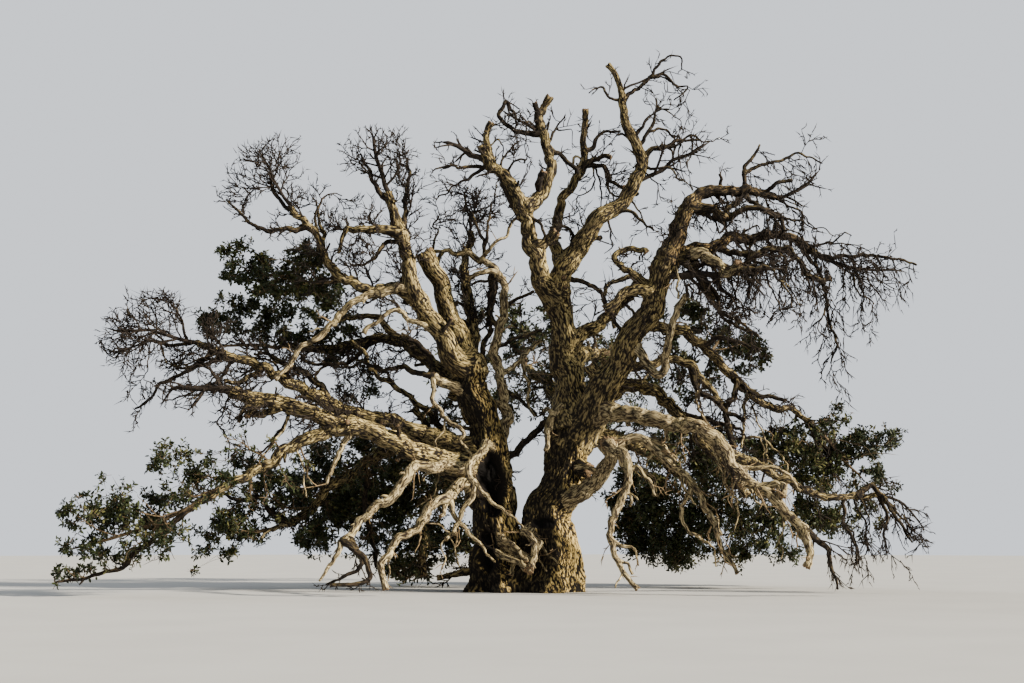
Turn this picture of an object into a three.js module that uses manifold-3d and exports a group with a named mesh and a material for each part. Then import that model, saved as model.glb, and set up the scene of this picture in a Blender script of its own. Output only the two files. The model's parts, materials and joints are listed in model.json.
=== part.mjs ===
// An ancient evergreen oak on open ground, mostly dead wood above and leafy below.
// Two leaning stems rise from one flared foot that is cut flat at the ground, z = 0.
// Millimetres, +Z up. +X is the viewer's right and -Y is toward the viewer.
// The tables of limbs and masses give places and sizes in metres.
import * as THREE from "three";
import { mergeVertices } from "three/addons/utils/BufferGeometryUtils.js";
import Module from "manifold-3d";

const wasm = await Module();
wasm.setup();

const METRE = 1000;
const CLEARANCE = 0.3; // between a limb or a stem of twigs and what carries it

// Limbs.
const RING_SPACING = 1.1 * METRE;
const KNEE_SPACING = 0.8 * METRE; // how often a limb changes its heading
const KNEE_BASE = 0.05 * METRE; // how far a knee stands off the smooth line
const KNEE_PER_RADIUS = 0.25;
const COLLAR_SWELL = 0.3; // a limb is this much thicker where it leaves its parent
const COLLAR_LENGTH = 1.6; // in start radii
const SIDES = { trunk: 16, bough: 8, branch: 5 };
const BOUGH_RADIUS = 0.24 * METRE; // a limb thinner than this at its start is a branch

// Root flare of the two stems that stand on the ground.
const FLARE = 0.55;
const FLARE_HEIGHT = 0.75 * METRE;
const ROOT_LOBES = 5;
const LOBE_DEPTH = 0.28;
const FLUTE_DEPTH = 0.05; // the lobes run on up the stem as shallow flutes

// Twigs. Each order of shoots grows from the one before it.
const GOLDEN_ANGLE = Math.PI * (3 - Math.sqrt(5));
const STEM = { sides: 5, steps: 4, thickness: 0.9, bow: 0.1 };
const SHOOTS = [
  { every: 0.44 * METRE, least: 4, spread: 0.95, length: 0.8, radius: 0.55, first: 0.15,
    sides: 3, steps: 2 },
  { every: 0.75 * METRE, least: 1, spread: 0.75, length: 0.65, radius: 0.6, first: 0.35,
    sides: 3, steps: 1 },
];
const LEAST_TWIG_RADIUS = 0.014 * METRE;
const LEAST_SHOOT = 0.3 * METRE;
const SHOOT_BOW = 0.1;
const TWIG_GAP = 0.03 * METRE; // from a twig or leaf to any limb
const SHORTER = [1, 0.8, 0.62, 0.48, 0.36]; // the shares of its wanted length that a shoot tries
const SPACE_MARGIN = 0.05; // between two masses, as a share of a space's half size
const BARE_REACH = 1; // how far out in its ellipsoid a bare twig may end
const LEAFY_REACH = 0.88; // the same for a twig that ends in a leaf
const LEAF_REACH = 1.15;
const LOWEST = 0.06 * METRE; // no twig or leaf comes nearer to the ground

// Leaves. Each stands for a spray.
const LEAF = { length: 0.85 * METRE, width: 0.5 * METRE, thickness: 0.07 * METRE };
const LEAF_SUNK = 0.3; // the share of a leaf that lies along its twig

const bark = new THREE.MeshStandardMaterial({ color: 0x8c7450, roughness: 0.95, metalness: 0 });
const paleWood = new THREE.MeshStandardMaterial({ color: 0xb39d78, roughness: 0.9, metalness: 0 });
const twigBark = new THREE.MeshStandardMaterial({ color: 0x4b3d2e, roughness: 0.95, metalness: 0 });
const foliage = new THREE.MeshStandardMaterial({ color: 0x3b4a22, roughness: 0.85, metalness: 0 });

// Each limb starts on its parent's axis at a share of its length and passes the points of its way.
// The radii are at its start and its tip.
const LIMBS = [
  { name: "trunk", foot: [0, 0, 0], radius: [0.78, 0.54],
    way: [[0.1, 0, 1.3], [0.3, 0, 2.3], [0.6, 0, 3.5], [0.8, 0, 4.6]] },
  { name: "west_stem", foot: [-1.15, 0.15, 0], radius: [0.66, 0.38],
    way: [[-1.3, 0.1, 1.3], [-1.4, 0.2, 2.9], [-1.7, 0.3, 4.4], [-2.1, 0.4, 6.5]] },
  { name: "crest_bough", from: "trunk", at: 1, radius: [0.46, 0.07],
    way: [[0.8, 0.1, 6.1], [0.55, 0.2, 8], [0.7, 0.2, 9.6], [1.8, 0.1, 10.8], [3, 0, 12.4],
      [2.5, 0, 14.2], [2.1, 0, 15.6]] },
  { name: "east_bough", from: "trunk", at: 0.93, radius: [0.46, 0.28],
    way: [[1.6, -0.6, 5.3], [2, -1, 6.3], [2.7, -1.4, 7.5], [3.4, -1.6, 8.7], [3.6, -1.7, 9.3]] },
  { name: "broken_top_bough", from: "west_stem", at: 0.95, radius: [0.37, 0.23],
    way: [[-2.3, 0.6, 7], [-2.6, 0.6, 7.9], [-2.8, 0.5, 8.8], [-3.35, 0.3, 9.85]] },
  { name: "west_crown_bough", from: "west_stem", at: 1, radius: [0.34, 0.12],
    way: [[-2.7, -0.2, 7], [-3.3, -0.5, 8.1], [-3.7, -0.7, 9], [-4, -0.8, 10], [-4.5, -1, 11.5]] },
  { name: "back_west_bough", from: "west_stem", at: 0.97, radius: [0.24, 0.1],
    way: [[-2, 1.4, 7.8], [-2.2, 1.8, 8.9], [-2.3, 2.2, 10], [-2.1, 2.4, 10.9]] },
  { name: "braided_bough", from: "west_stem", at: 0.6, radius: [0.19, 0.09], pale: true,
    way: [[-1, 0.8, 5], [-1.1, 0.7, 5.9], [-1.3, 0.6, 7.1], [-1.1, 0.6, 8.4], [-1.4, 0.8, 9.6],
      [-2.3, 1, 10.2]] },
  { name: "west_low_bough", from: "west_stem", at: 0.47, radius: [0.36, 0.16],
    way: [[-2.9, -0.8, 3.8], [-4.1, -1.6, 4.3], [-5.6, -2.2, 4.7], [-8.5, -3, 5.5]] },
  { name: "west_fork_bough", from: "west_low_bough", at: 0.6, radius: [0.2, 0.1],
    way: [[-6.7, -2.6, 4.1], [-7.6, -3, 3.5], [-8.9, -3.4, 2.6]] },
  { name: "west_mid_bough", from: "west_stem", at: 0.58, radius: [0.3, 0.09],
    way: [[-3.8, 0.6, 4.8], [-5.9, 0.8, 5.3], [-7.1, 0.6, 6], [-10, -0.5, 7.2]] },
  { name: "west_shelf_bough", from: "west_stem", at: 0.85, radius: [0.24, 0.1],
    way: [[-3.4, 1.2, 6.8], [-4.3, 1.8, 7.5], [-6.1, 2.2, 7.3], [-7.8, 2.4, 7.4]] },
  { name: "northwest_bough", from: "west_crown_bough", at: 0.45, radius: [0.19, 0.08],
    way: [[-4.2, -0.6, 8.7], [-5.5, -0.8, 8.7], [-6.2, -1, 9.6], [-7.2, -1.3, 11]] },
  { name: "west_back_low_bough", from: "west_stem", at: 0.38, radius: [0.28, 0.12],
    way: [[-3.3, 2, 3.9], [-4.4, 2.6, 4.3], [-5.5, 3, 3.8], [-7.6, 2.8, 2]] },
  { name: "front_west_bough", from: "west_low_bough", at: 0.1, radius: [0.19, 0.09], pale: true,
    way: [[-3, -1.6, 3.5], [-3.6, -2.1, 3.4], [-4, -2.7, 2.7], [-4.6, -3, 2.2], [-5.3, -3.6, 1.4]] },
  { name: "front_knee_bough", from: "west_stem", at: 0.4, radius: [0.19, 0.08], pale: true,
    way: [[-2.4, -1, 3.1], [-2.6, -1.6, 2.5], [-3.2, -2.2, 2.3], [-3.6, -2.6, 1.7],
      [-4.4, -3.1, 0.8], [-4.2, -3.2, 0.2]] },
  { name: "front_hanging_bough", from: "west_stem", at: 0.63, radius: [0.15, 0.05], pale: true,
    way: [[-1.6, -1, 4.2], [-1.9, -1.5, 3.5], [-1.9, -1.6, 2.7], [-2.7, -1.8, 1.5]] },
  { name: "west_crest_bough", from: "crest_bough", at: 0.32, radius: [0.3, 0.14],
    way: [[-0.1, -0.3, 9.3], [-0.4, -0.4, 10.2], [-0.4, -0.5, 11.1], [-0.8, -0.6, 11.9],
      [-1.6, -0.8, 12.4]] },
  { name: "crown_bough", from: "west_crest_bough", at: 0.62, radius: [0.2, 0.1],
    way: [[0.2, -0.2, 11.9], [0.3, -0.1, 12.7], [0, 0, 13.5], [0.25, 0, 14.6]] },
  { name: "knotted_bough", from: "crest_bough", at: 0.42, radius: [0.19, 0.08],
    way: [[0.4, 0.8, 10.4], [0.6, 0.9, 11.5], [1.3, 0.8, 12.7], [1.4, 0.7, 14.3]] },
  { name: "dark_reach_bough", from: "crest_bough", at: 0.22, radius: [0.22, 0.14],
    way: [[1.7, 0.6, 7.8], [2.7, 0.8, 8.8]] },
  { name: "arch_bough", from: "east_bough", at: 0.98, radius: [0.26, 0.1],
    way: [[3.9, -1.9, 10], [4.2, -1.9, 10.8], [4.8, -1.8, 11.3], [5.9, -1.7, 11.4],
      [6.7, -1.5, 11.2]] },
  { name: "arch_low_bough", from: "east_bough", at: 1, radius: [0.2, 0.09],
    way: [[4.5, -1.2, 9.8], [6.4, -0.4, 10.3], [7.5, -0.2, 10.3], [8.3, 0.2, 9.8]] },
  { name: "east_low_bough", from: "east_bough", at: 0.12, radius: [0.26, 0.12], pale: true,
    way: [[2, -1.1, 5.1], [2.9, -1.6, 4.8], [4.5, -2.7, 4.4], [5.3, -3.1, 3.4], [6.9, -3.8, 1.7]] },
  { name: "far_east_bough", from: "east_low_bough", at: 0.6, radius: [0.14, 0.07],
    way: [[6.9, -2, 3], [8.4, -1.4, 2.7], [9.6, -1.1, 2.7]] },
  { name: "east_step_bough", from: "trunk", at: 0.97, radius: [0.26, 0.1],
    way: [[1.7, 0.7, 5.5], [2.6, 0.4, 6], [3.4, 0.3, 5.6], [4.9, 0, 4.2], [5.9, -0.4, 2.8]] },
  { name: "east_mid_bough", from: "east_bough", at: 0.7, radius: [0.17, 0.08],
    way: [[4.4, -0.3, 7.2], [5.7, 0.3, 6.4], [6.2, 0.5, 5.6], [7.4, 1, 5.3], [8.1, 1.2, 4.9]] },
  { name: "east_elbow_bough", from: "trunk", at: 0.5, radius: [0.3, 0.17], pale: true,
    way: [[1.6, -0.9, 3.2], [1.9, -1.5, 3.7], [1.9, -2, 4.1]] },
  { name: "hanging_bough", from: "east_elbow_bough", at: 0.98, radius: [0.14, 0.06], pale: true,
    way: [[2.3, -2.6, 3.7], [2.2, -2.7, 2.8], [1.9, -2.9, 2], [1.8, -3, 1.2], [2.5, -3.3, 0.2]] },
  { name: "east_droop_bough", from: "east_elbow_bough", at: 0.93, radius: [0.14, 0.05], pale: true,
    way: [[2.8, -2, 4.2], [3.8, -2.5, 3.3], [4.4, -2.7, 2.4], [5.2, -3.1, 0.6]] },
  { name: "back_low_bough", from: "west_stem", at: 0.5, radius: [0.24, 0.12],
    way: [[-1.7, 2.2, 3.7], [-2.8, 3.7, 3.3], [-3.5, 4.4, 2.9]] },
  { name: "back_mid_bough", from: "trunk", at: 0.95, radius: [0.25, 0.12],
    way: [[0.3, 1.6, 5.9], [-0.3, 3.4, 6.9]] },
  { name: "back_east_bough", from: "trunk", at: 0.85, radius: [0.28, 0.12],
    way: [[1.8, 2, 4.6], [3.4, 3.2, 4.2], [4.3, 3.8, 3.5]] },
  { name: "back_far_bough", from: "west_stem", at: 0.8, radius: [0.27, 0.12],
    way: [[-2.5, 3, 6.2], [-2.6, 5.2, 6.6], [-2.2, 6.7, 6.1]] },
  { name: "back_far_east_bough", from: "crest_bough", at: 0.15, radius: [0.27, 0.12],
    way: [[1.4, 2.6, 7.2], [2, 4.8, 7.5], [2.4, 6.4, 7]] },
];

// Each mass keeps to an ellipsoid and grows from one stem, from its limb toward the point it reaches.
const MASSES = [
  { name: "far_west_leaves", on: "west_fork_bough", at: 1, leafy: true,
    centre: [-10.9, -3.4, 2], half: [2.4, 1.8, 1.6], reach: [-12.8, -3.6, 1.1] },
  { name: "west_low_leaves", on: "west_back_low_bough", at: 1, leafy: true,
    centre: [-8.5, 2.6, 2], half: [1.8, 1.8, 1.6], reach: [-9.7, 2.5, 1.7] },
  { name: "west_under_leaves", on: "west_back_low_bough", at: 0.6, leafy: true,
    centre: [-6, 4.3, 3.5], half: [1.9, 1.5, 1.4], reach: [-6.4, 5.2, 3.7] },
  { name: "back_west_leaves", on: "back_low_bough", at: 1, leafy: true,
    centre: [-4, 5.3, 2.5], half: [1.7, 1.6, 1.8], reach: [-4.4, 6.2, 2.3] },
  { name: "west_high_leaves", on: "northwest_bough", at: 0.42, leafy: true,
    centre: [-7.4, 0.4, 9.4], half: [2, 1.5, 1.3], reach: [-8.9, 0.9, 9.5] },
  { name: "west_shelf_leaves", on: "west_shelf_bough", at: 1, leafy: true,
    centre: [-8.7, 2.4, 7.5], half: [2, 1.5, 1], reach: [-10.1, 2.3, 7.4] },
  { name: "back_mid_leaves", on: "back_mid_bough", at: 1, leafy: true,
    centre: [-0.6, 4.6, 7.4], half: [1.7, 1.6, 1.5], reach: [-0.9, 5.6, 7.9] },
  { name: "east_high_leaves", on: "east_mid_bough", at: 0.42, leafy: true,
    centre: [5.4, 1.4, 7.4], half: [1.5, 1.5, 1.3], reach: [5.6, 2.1, 8] },
  { name: "east_low_leaves", on: "east_mid_bough", at: 1, leafy: true,
    centre: [9, 1.3, 3.8], half: [2, 1.9, 1.9], reach: [9.8, 1.4, 3.1] },
  { name: "east_inner_leaves", on: "back_east_bough", at: 1, leafy: true,
    centre: [5, 4.6, 2.8], half: [2.2, 1.8, 1.9], reach: [5.8, 5.3, 2.4] },
  { name: "back_far_leaves", on: "back_far_bough", at: 1, leafy: true,
    centre: [-2.2, 8, 5.6], half: [2, 1.7, 1.7], reach: [-2.2, 9, 5.3] },
  { name: "back_far_east_leaves", on: "back_far_east_bough", at: 1, leafy: true,
    centre: [2.6, 7.6, 6.4], half: [2, 1.7, 1.7], reach: [2.8, 8.6, 6.1] },
  { name: "northwest_twigs", on: "northwest_bough", at: 1,
    centre: [-7.6, -1.3, 11.6], half: [1.7, 1.5, 1.5], reach: [-8.2, -1.4, 12.8] },
  { name: "far_west_twigs", on: "west_mid_bough", at: 1,
    centre: [-11.1, -0.8, 7.2], half: [1.8, 1.5, 1.5], reach: [-12.6, -1, 7.5] },
  { name: "west_low_twigs", on: "west_low_bough", at: 1,
    centre: [-9.2, -3.1, 5.4], half: [1.3, 1.3, 1], reach: [-10.1, -3.2, 5.5] },
  { name: "west_crown_twigs", on: "west_crown_bough", at: 1,
    centre: [-4.5, -1.1, 12.2], half: [1.6, 1.4, 1.3], reach: [-4.9, -1.2, 13.2] },
  { name: "back_west_twigs", on: "back_west_bough", at: 1,
    centre: [-2, 2.6, 11.4], half: [1.4, 1.4, 1.2], reach: [-2, 2.8, 12.3] },
  { name: "west_crest_twigs", on: "west_crest_bough", at: 1,
    centre: [-2.3, -0.9, 12.7], half: [1.1, 1.1, 0.9], reach: [-3, -1, 13] },
  { name: "crown_twigs", on: "crown_bough", at: 0.72,
    centre: [-0.6, -0.1, 14], half: [1, 1, 0.9], reach: [-1.3, -0.2, 14.2] },
  { name: "crest_twigs", on: "crest_bough", at: 0.93,
    centre: [3.3, 0, 15.2], half: [1.3, 1, 0.85], reach: [4.2, 0, 15.6] },
  { name: "crest_east_twigs", on: "crest_bough", at: 0.68,
    centre: [4, 0.1, 13.2], half: [1.5, 1.2, 1.1], reach: [5.2, 0.1, 13.4] },
  { name: "arch_twigs", on: "arch_bough", at: 1,
    centre: [7, -1.5, 11.8], half: [1.6, 1.3, 1], reach: [8, -1.5, 12.1] },
  { name: "arch_end_twigs", on: "arch_low_bough", at: 1,
    centre: [9.4, 0.4, 9.2], half: [1.8, 1.5, 1.8], reach: [10.9, 0.5, 9.4] },
  { name: "arch_under_twigs", on: "east_bough", at: 0.93,
    centre: [5.1, -2.6, 8.9], half: [1.9, 1.3, 1.2], reach: [6.7, -3, 8.8] },
  { name: "far_east_twigs", on: "far_east_bough", at: 1,
    centre: [9.9, -1.1, 2.1], half: [1.2, 1, 1.2], reach: [10.8, -1.1, 1.8] },
];

// A seeded stream of numbers from 0 to 1, the same on every run for the same name.
function seededRandom(name) {
  let state = [...name].reduce((hash, letter) => (hash * 31 + letter.charCodeAt(0)) >>> 0, 7);
  return () => {
    state = (state + 0x6d2b79f5) >>> 0;
    let mixed = Math.imul(state ^ (state >>> 15), state | 1);
    mixed ^= mixed + Math.imul(mixed ^ (mixed >>> 7), mixed | 61);
    return ((mixed ^ (mixed >>> 14)) >>> 0) / 2 ** 32;
  };
}

function vector(metres) {
  return new THREE.Vector3(...metres).multiplyScalar(METRE);
}

function randomOffset(random) {
  return new THREE.Vector3(random() - 0.5, random() - 0.5, random() - 0.5).multiplyScalar(2);
}

function smoothCurve(points) {
  return new THREE.CatmullRomCurve3(points, false, "catmullrom", 0.5);
}

// A crooked curve: the smooth line through the way with a knee thrown off it here and there.
function crookedCurve(points, kneeSize, random) {
  const smooth = smoothCurve(points);
  const spans = Math.max(2, Math.round(smooth.getLength() / KNEE_SPACING));
  const spaced = smooth.getSpacedPoints(spans);
  spaced.slice(1, -1).forEach((point) => point.addScaledVector(randomOffset(random), kneeSize));
  return smoothCurve(spaced);
}

// Adds the curve, the ring count and the radius rule to a row of the table of limbs.
function layOutLimb(row, limbs) {
  const [startRadius, tipRadius] = row.radius.map((metres) => metres * METRE);
  const start = row.foot ? vector(row.foot) : limbs.get(row.from).curve.getPointAt(row.at);
  const kneeSize = KNEE_BASE + KNEE_PER_RADIUS * tipRadius;
  const points = [start, ...row.way.map(vector)];
  const curve = crookedCurve(points, kneeSize, seededRandom(row.name));
  const length = curve.getLength();
  const branchSides = startRadius < BOUGH_RADIUS ? SIDES.branch : SIDES.bough;
  return {
    ...row,
    curve,
    length,
    startRadius,
    steps: Math.max(4, Math.round(length / RING_SPACING)),
    sides: row.foot ? SIDES.trunk : branchSides,
    radiusAt(share, angle) {
      const plain = startRadius + (tipRadius - startRadius) * share;
      if (row.foot) {
        const height = share * length;
        const low = Math.exp(-height / FLARE_HEIGHT);
        const lobe = Math.cos(ROOT_LOBES * angle + startRadius);
        return plain * (1 + low * (FLARE + LOBE_DEPTH * lobe) + FLUTE_DEPTH * lobe);
      }
      return plain * (1 + COLLAR_SWELL * Math.exp((-share * length) / (COLLAR_LENGTH * startRadius)));
    },
  };
}

// Moves the rings of a cylinder or cone onto the curve. scaleAt gives each vertex its distance from
// the axis, and the ends are pushed out by endGap.
function sweep(geometry, curve, steps, scaleAt, endGap = 0) {
  geometry.deleteAttribute("normal");
  geometry.deleteAttribute("uv");
  const frames = curve.computeFrenetFrames(steps, false);
  const position = geometry.getAttribute("position");
  for (let i = 0; i < position.count; i += 1) {
    const x = position.getX(i);
    const z = position.getZ(i);
    const step = Math.round((position.getY(i) + 0.5) * steps);
    const scale = scaleAt(step / steps, Math.atan2(z, x));
    const push = step === 0 ? -endGap : step === steps ? endGap : 0;
    const point = curve.getPointAt(step / steps)
      .addScaledVector(frames.normals[step], x * scale)
      .addScaledVector(frames.binormals[step], -z * scale)
      .addScaledVector(frames.tangents[step], push);
    position.setXYZ(i, point.x, point.y, point.z);
  }
  return mergeVertices(geometry, 1e-3);
}

function limbGeometry(limb, grown = 0) {
  const cylinder = new THREE.CylinderGeometry(1, 1, 1, limb.sides, limb.steps);
  const scaleAt = (share, angle) => limb.radiusAt(share, angle) + grown;
  const geometry = sweep(cylinder, limb.curve, limb.steps, scaleAt, grown);
  if (limb.foot) flattenFoot(geometry, limb, grown);
  return geometry;
}

// The first ring of a standing stem lies level on the ground.
function flattenFoot(geometry, limb, grown) {
  const position = geometry.getAttribute("position");
  const level = limb.curve.getPointAt(0).z - grown;
  const secondRing = limb.curve.getPointAt(1 / limb.steps).z / 2;
  for (let i = 0; i < position.count; i += 1) {
    if (position.getZ(i) < secondRing) position.setZ(i, level);
  }
}

function solidOf(geometry) {
  return new wasm.Manifold(
    new wasm.Mesh({
      numProp: 3,
      vertProperties: Float32Array.from(geometry.getAttribute("position").array),
      triVerts: Uint32Array.from(geometry.index.array),
    }),
  );
}

function largestPiece(solid) {
  return solid.decompose().reduce((best, piece) => (piece.volume() > best.volume() ? piece : best));
}

function boxesMeet(a, b) {
  return [0, 1, 2].every((axis) => a.min[axis] < b.max[axis] && b.min[axis] < a.max[axis]);
}

// A limb gives way to each earlier limb that it meets.
function cutLimbs(limbs) {
  const grown = [];
  const solids = new Map();
  for (const limb of limbs.values()) {
    const whole = solidOf(limbGeometry(limb));
    const box = whole.boundingBox();
    const earlier = grown.filter((other) => boxesMeet(box, other.boundingBox()));
    const cut = earlier.reduce((solid, other) => solid.subtract(other), whole);
    solids.set(limb.name, largestPiece(cut));
    grown.push(solidOf(limbGeometry(limb, CLEARANCE)));
  }
  return { solids, grown };
}

// Points along every limb's axis with the limb's radius there, for keeping twigs clear of it.
function limbBeads(limbs) {
  const beads = [];
  for (const limb of limbs.values()) {
    const count = Math.ceil(limb.length / (0.2 * METRE));
    limb.curve.getSpacedPoints(count).forEach((point, i) => {
      beads.push({ point, radius: limb.radiusAt(i / count, 0) });
    });
  }
  return beads;
}

// How far out a point lies in a mass's ellipsoid: 0 at the centre and 1 on the skin.
function depthIn(mass, point) {
  const [x, y, z] = ["x", "y", "z"].map(
    (axis, i) => (point[axis] - mass.centre[i] * METRE) / (mass.half[i] * METRE),
  );
  return Math.hypot(x, y, z);
}

function keepsToSpace(mass, point, reach) {
  const own = depthIn(mass, point);
  if (own > reach || point.z < LOWEST) return false;
  return MASSES.every((other) => other === mass || depthIn(other, point) > own + SPACE_MARGIN);
}

function clearOfLimbs(beads, point, radius) {
  return beads.every((bead) => bead.point.distanceTo(point) > bead.radius + radius + TWIG_GAP);
}

// A unit vector square to the heading, turned round it by the angle.
function sideways(heading, angle) {
  const level = Math.abs(heading.z) < 0.9 ? new THREE.Vector3(0, 0, 1) : new THREE.Vector3(1, 0, 0);
  const across = new THREE.Vector3().crossVectors(heading, level).normalize();
  const upright = new THREE.Vector3().crossVectors(across, heading).normalize();
  return across.multiplyScalar(Math.cos(angle)).addScaledVector(upright, Math.sin(angle));
}

function bentLine(start, heading, length, bow, random) {
  const tip = start.clone().addScaledVector(heading, length);
  const middle = start.clone().lerp(tip, 0.5);
  middle.addScaledVector(sideways(heading, random() * 2 * Math.PI), bow * length);
  return new THREE.QuadraticBezierCurve3(start, middle, tip);
}

// The shoots of one order along a twig: golden-angle turns, shorter toward the tip.
function shootsOf(twig, order, mass, beads, random) {
  const rule = SHOOTS[order];
  const reach = mass.leafy ? LEAFY_REACH : BARE_REACH;
  const count = Math.max(rule.least, Math.round(twig.length / rule.every));
  const shoots = [];
  for (let i = 0; i < count; i += 1) {
    const share = rule.first + ((i + random() * 0.8) / count) * (1 - rule.first);
    const tangent = twig.curve.getTangent(share);
    const side = sideways(tangent, i * GOLDEN_ANGLE + twig.turn);
    const heading = tangent.multiplyScalar(Math.cos(rule.spread))
      .addScaledVector(side, Math.sin(rule.spread))
      .normalize();
    const wanted = twig.length * rule.length * (1 - 0.35 * share) * (0.75 + 0.5 * random());
    const radius = Math.max(LEAST_TWIG_RADIUS, twig.radius * rule.radius * (1 - 0.5 * share));
    const start = twig.curve.getPoint(share);
    const turn = random() * 2 * Math.PI;
    for (const length of SHORTER.map((part) => part * wanted)) {
      const curve = bentLine(start, heading, length, SHOOT_BOW, random);
      const fits = [0.3, 0.55, 0.8, 1].every((part) => {
        const point = curve.getPoint(part);
        return keepsToSpace(mass, point, reach) && clearOfLimbs(beads, point, radius);
      });
      if (!fits || length < LEAST_SHOOT) continue;
      shoots.push({ curve, length, radius, turn, rule });
      break;
    }
  }
  return shoots;
}

function stemOf(mass, limbs, random) {
  const limb = limbs.get(mass.on);
  const start = limb.curve.getPointAt(mass.at);
  const reach = vector(mass.reach);
  const heading = reach.clone().sub(start).normalize();
  const outward = mass.at === 1 ? limb.curve.getTangentAt(1) : heading;
  const length = start.distanceTo(reach);
  const middle = start.clone().addScaledVector(outward, length * 0.5);
  middle.lerp(start.clone().lerp(reach, 0.5), 0.5);
  const curve = new THREE.QuadraticBezierCurve3(start, middle, reach);
  const radius = limb.radiusAt(mass.at, 0) * (mass.at === 1 ? STEM.thickness : 0.5);
  return { curve, length, radius, turn: random() * 2 * Math.PI, rule: STEM };
}

function growTwigs(mass, limbs, beads) {
  const random = seededRandom(mass.name);
  const orders = [[stemOf(mass, limbs, random)]];
  SHOOTS.forEach((rule, order) => {
    orders.push(orders[order].flatMap((twig) => shootsOf(twig, order, mass, beads, random)));
  });
  return orders;
}

function twigGeometry(twig) {
  const cone = new THREE.ConeGeometry(1, 1, twig.rule.sides, twig.rule.steps);
  return sweep(cone, twig.curve, twig.rule.steps, () => twig.radius);
}

// A flat eight-faced leaf whose root lies along the end of its twig.
function leafGeometry(root, heading, twist) {
  const geometry = new THREE.OctahedronGeometry(0.5);
  geometry.deleteAttribute("normal");
  geometry.deleteAttribute("uv");
  const merged = mergeVertices(geometry, 1e-3);
  const across = sideways(heading, twist);
  const through = new THREE.Vector3().crossVectors(heading, across);
  const matrix = new THREE.Matrix4().makeBasis(
    heading.clone().multiplyScalar(LEAF.length),
    across.clone().multiplyScalar(LEAF.width),
    through.multiplyScalar(LEAF.thickness),
  );
  matrix.setPosition(root.clone().addScaledVector(heading, (0.5 - LEAF_SUNK) * LEAF.length));
  return merged.applyMatrix4(matrix);
}

function leavesOf(orders, mass, beads) {
  const random = seededRandom(mass.name + " leaves");
  const leaves = [];
  orders.slice(1).flat().forEach((twig) => {
    const tip = twig.curve.getPoint(1);
    const heading = tip.clone().sub(twig.curve.getPointAt(1 - 1 / twig.rule.steps)).normalize();
    const twist = random() * Math.PI;
    const end = tip.clone().addScaledVector(heading, (1 - LEAF_SUNK) * LEAF.length);
    const fits = [0.4, 1].every((part) => {
      const point = tip.clone().lerp(end, part);
      return keepsToSpace(mass, point, LEAF_REACH) && clearOfLimbs(beads, point, LEAF.width / 2);
    });
    if (fits) leaves.push(leafGeometry(tip, heading, twist));
  });
  return leaves;
}

function massSolid(mass, limbs, beads, grown) {
  const orders = growTwigs(mass, limbs, beads);
  const pieces = orders.flat().map(twigGeometry);
  if (mass.leafy) pieces.push(...leavesOf(orders, mass, beads));
  const whole = wasm.Manifold.union(pieces.map(solidOf));
  const box = whole.boundingBox();
  const near = grown.filter((limb) => boxesMeet(box, limb.boundingBox()));
  return largestPiece(near.reduce((solid, limb) => solid.subtract(limb), whole));
}

function meshOf(name, solid, material) {
  const { numProp, vertProperties, triVerts } = solid.getMesh();
  if (numProp !== 3) throw new Error(`${name} has ${numProp} values a vertex`);
  const geometry = new THREE.BufferGeometry();
  geometry.setAttribute("position", new THREE.BufferAttribute(vertProperties, 3));
  geometry.setIndex(new THREE.BufferAttribute(triVerts, 1));
  const mesh = new THREE.Mesh(geometry, material);
  mesh.name = name;
  return mesh;
}

function buildTree() {
  const tree = new THREE.Group();
  const limbs = new Map();
  LIMBS.forEach((row) => limbs.set(row.name, layOutLimb(row, limbs)));
  const { solids, grown } = cutLimbs(limbs);
  limbs.forEach((limb) => {
    tree.add(meshOf(limb.name, solids.get(limb.name), limb.pale ? paleWood : bark));
  });
  const beads = limbBeads(limbs);
  MASSES.forEach((mass) => {
    const solid = massSolid(mass, limbs, beads, grown);
    tree.add(meshOf(mass.name, solid, mass.leafy ? foliage : twigBark));
  });
  return tree;
}

export default buildTree();
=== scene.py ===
# An ancient evergreen oak, dead above and leafy below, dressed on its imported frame.
# Metres, +Z up. +X is the viewer's right and -Y is toward the viewer.
import json
import math

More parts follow.
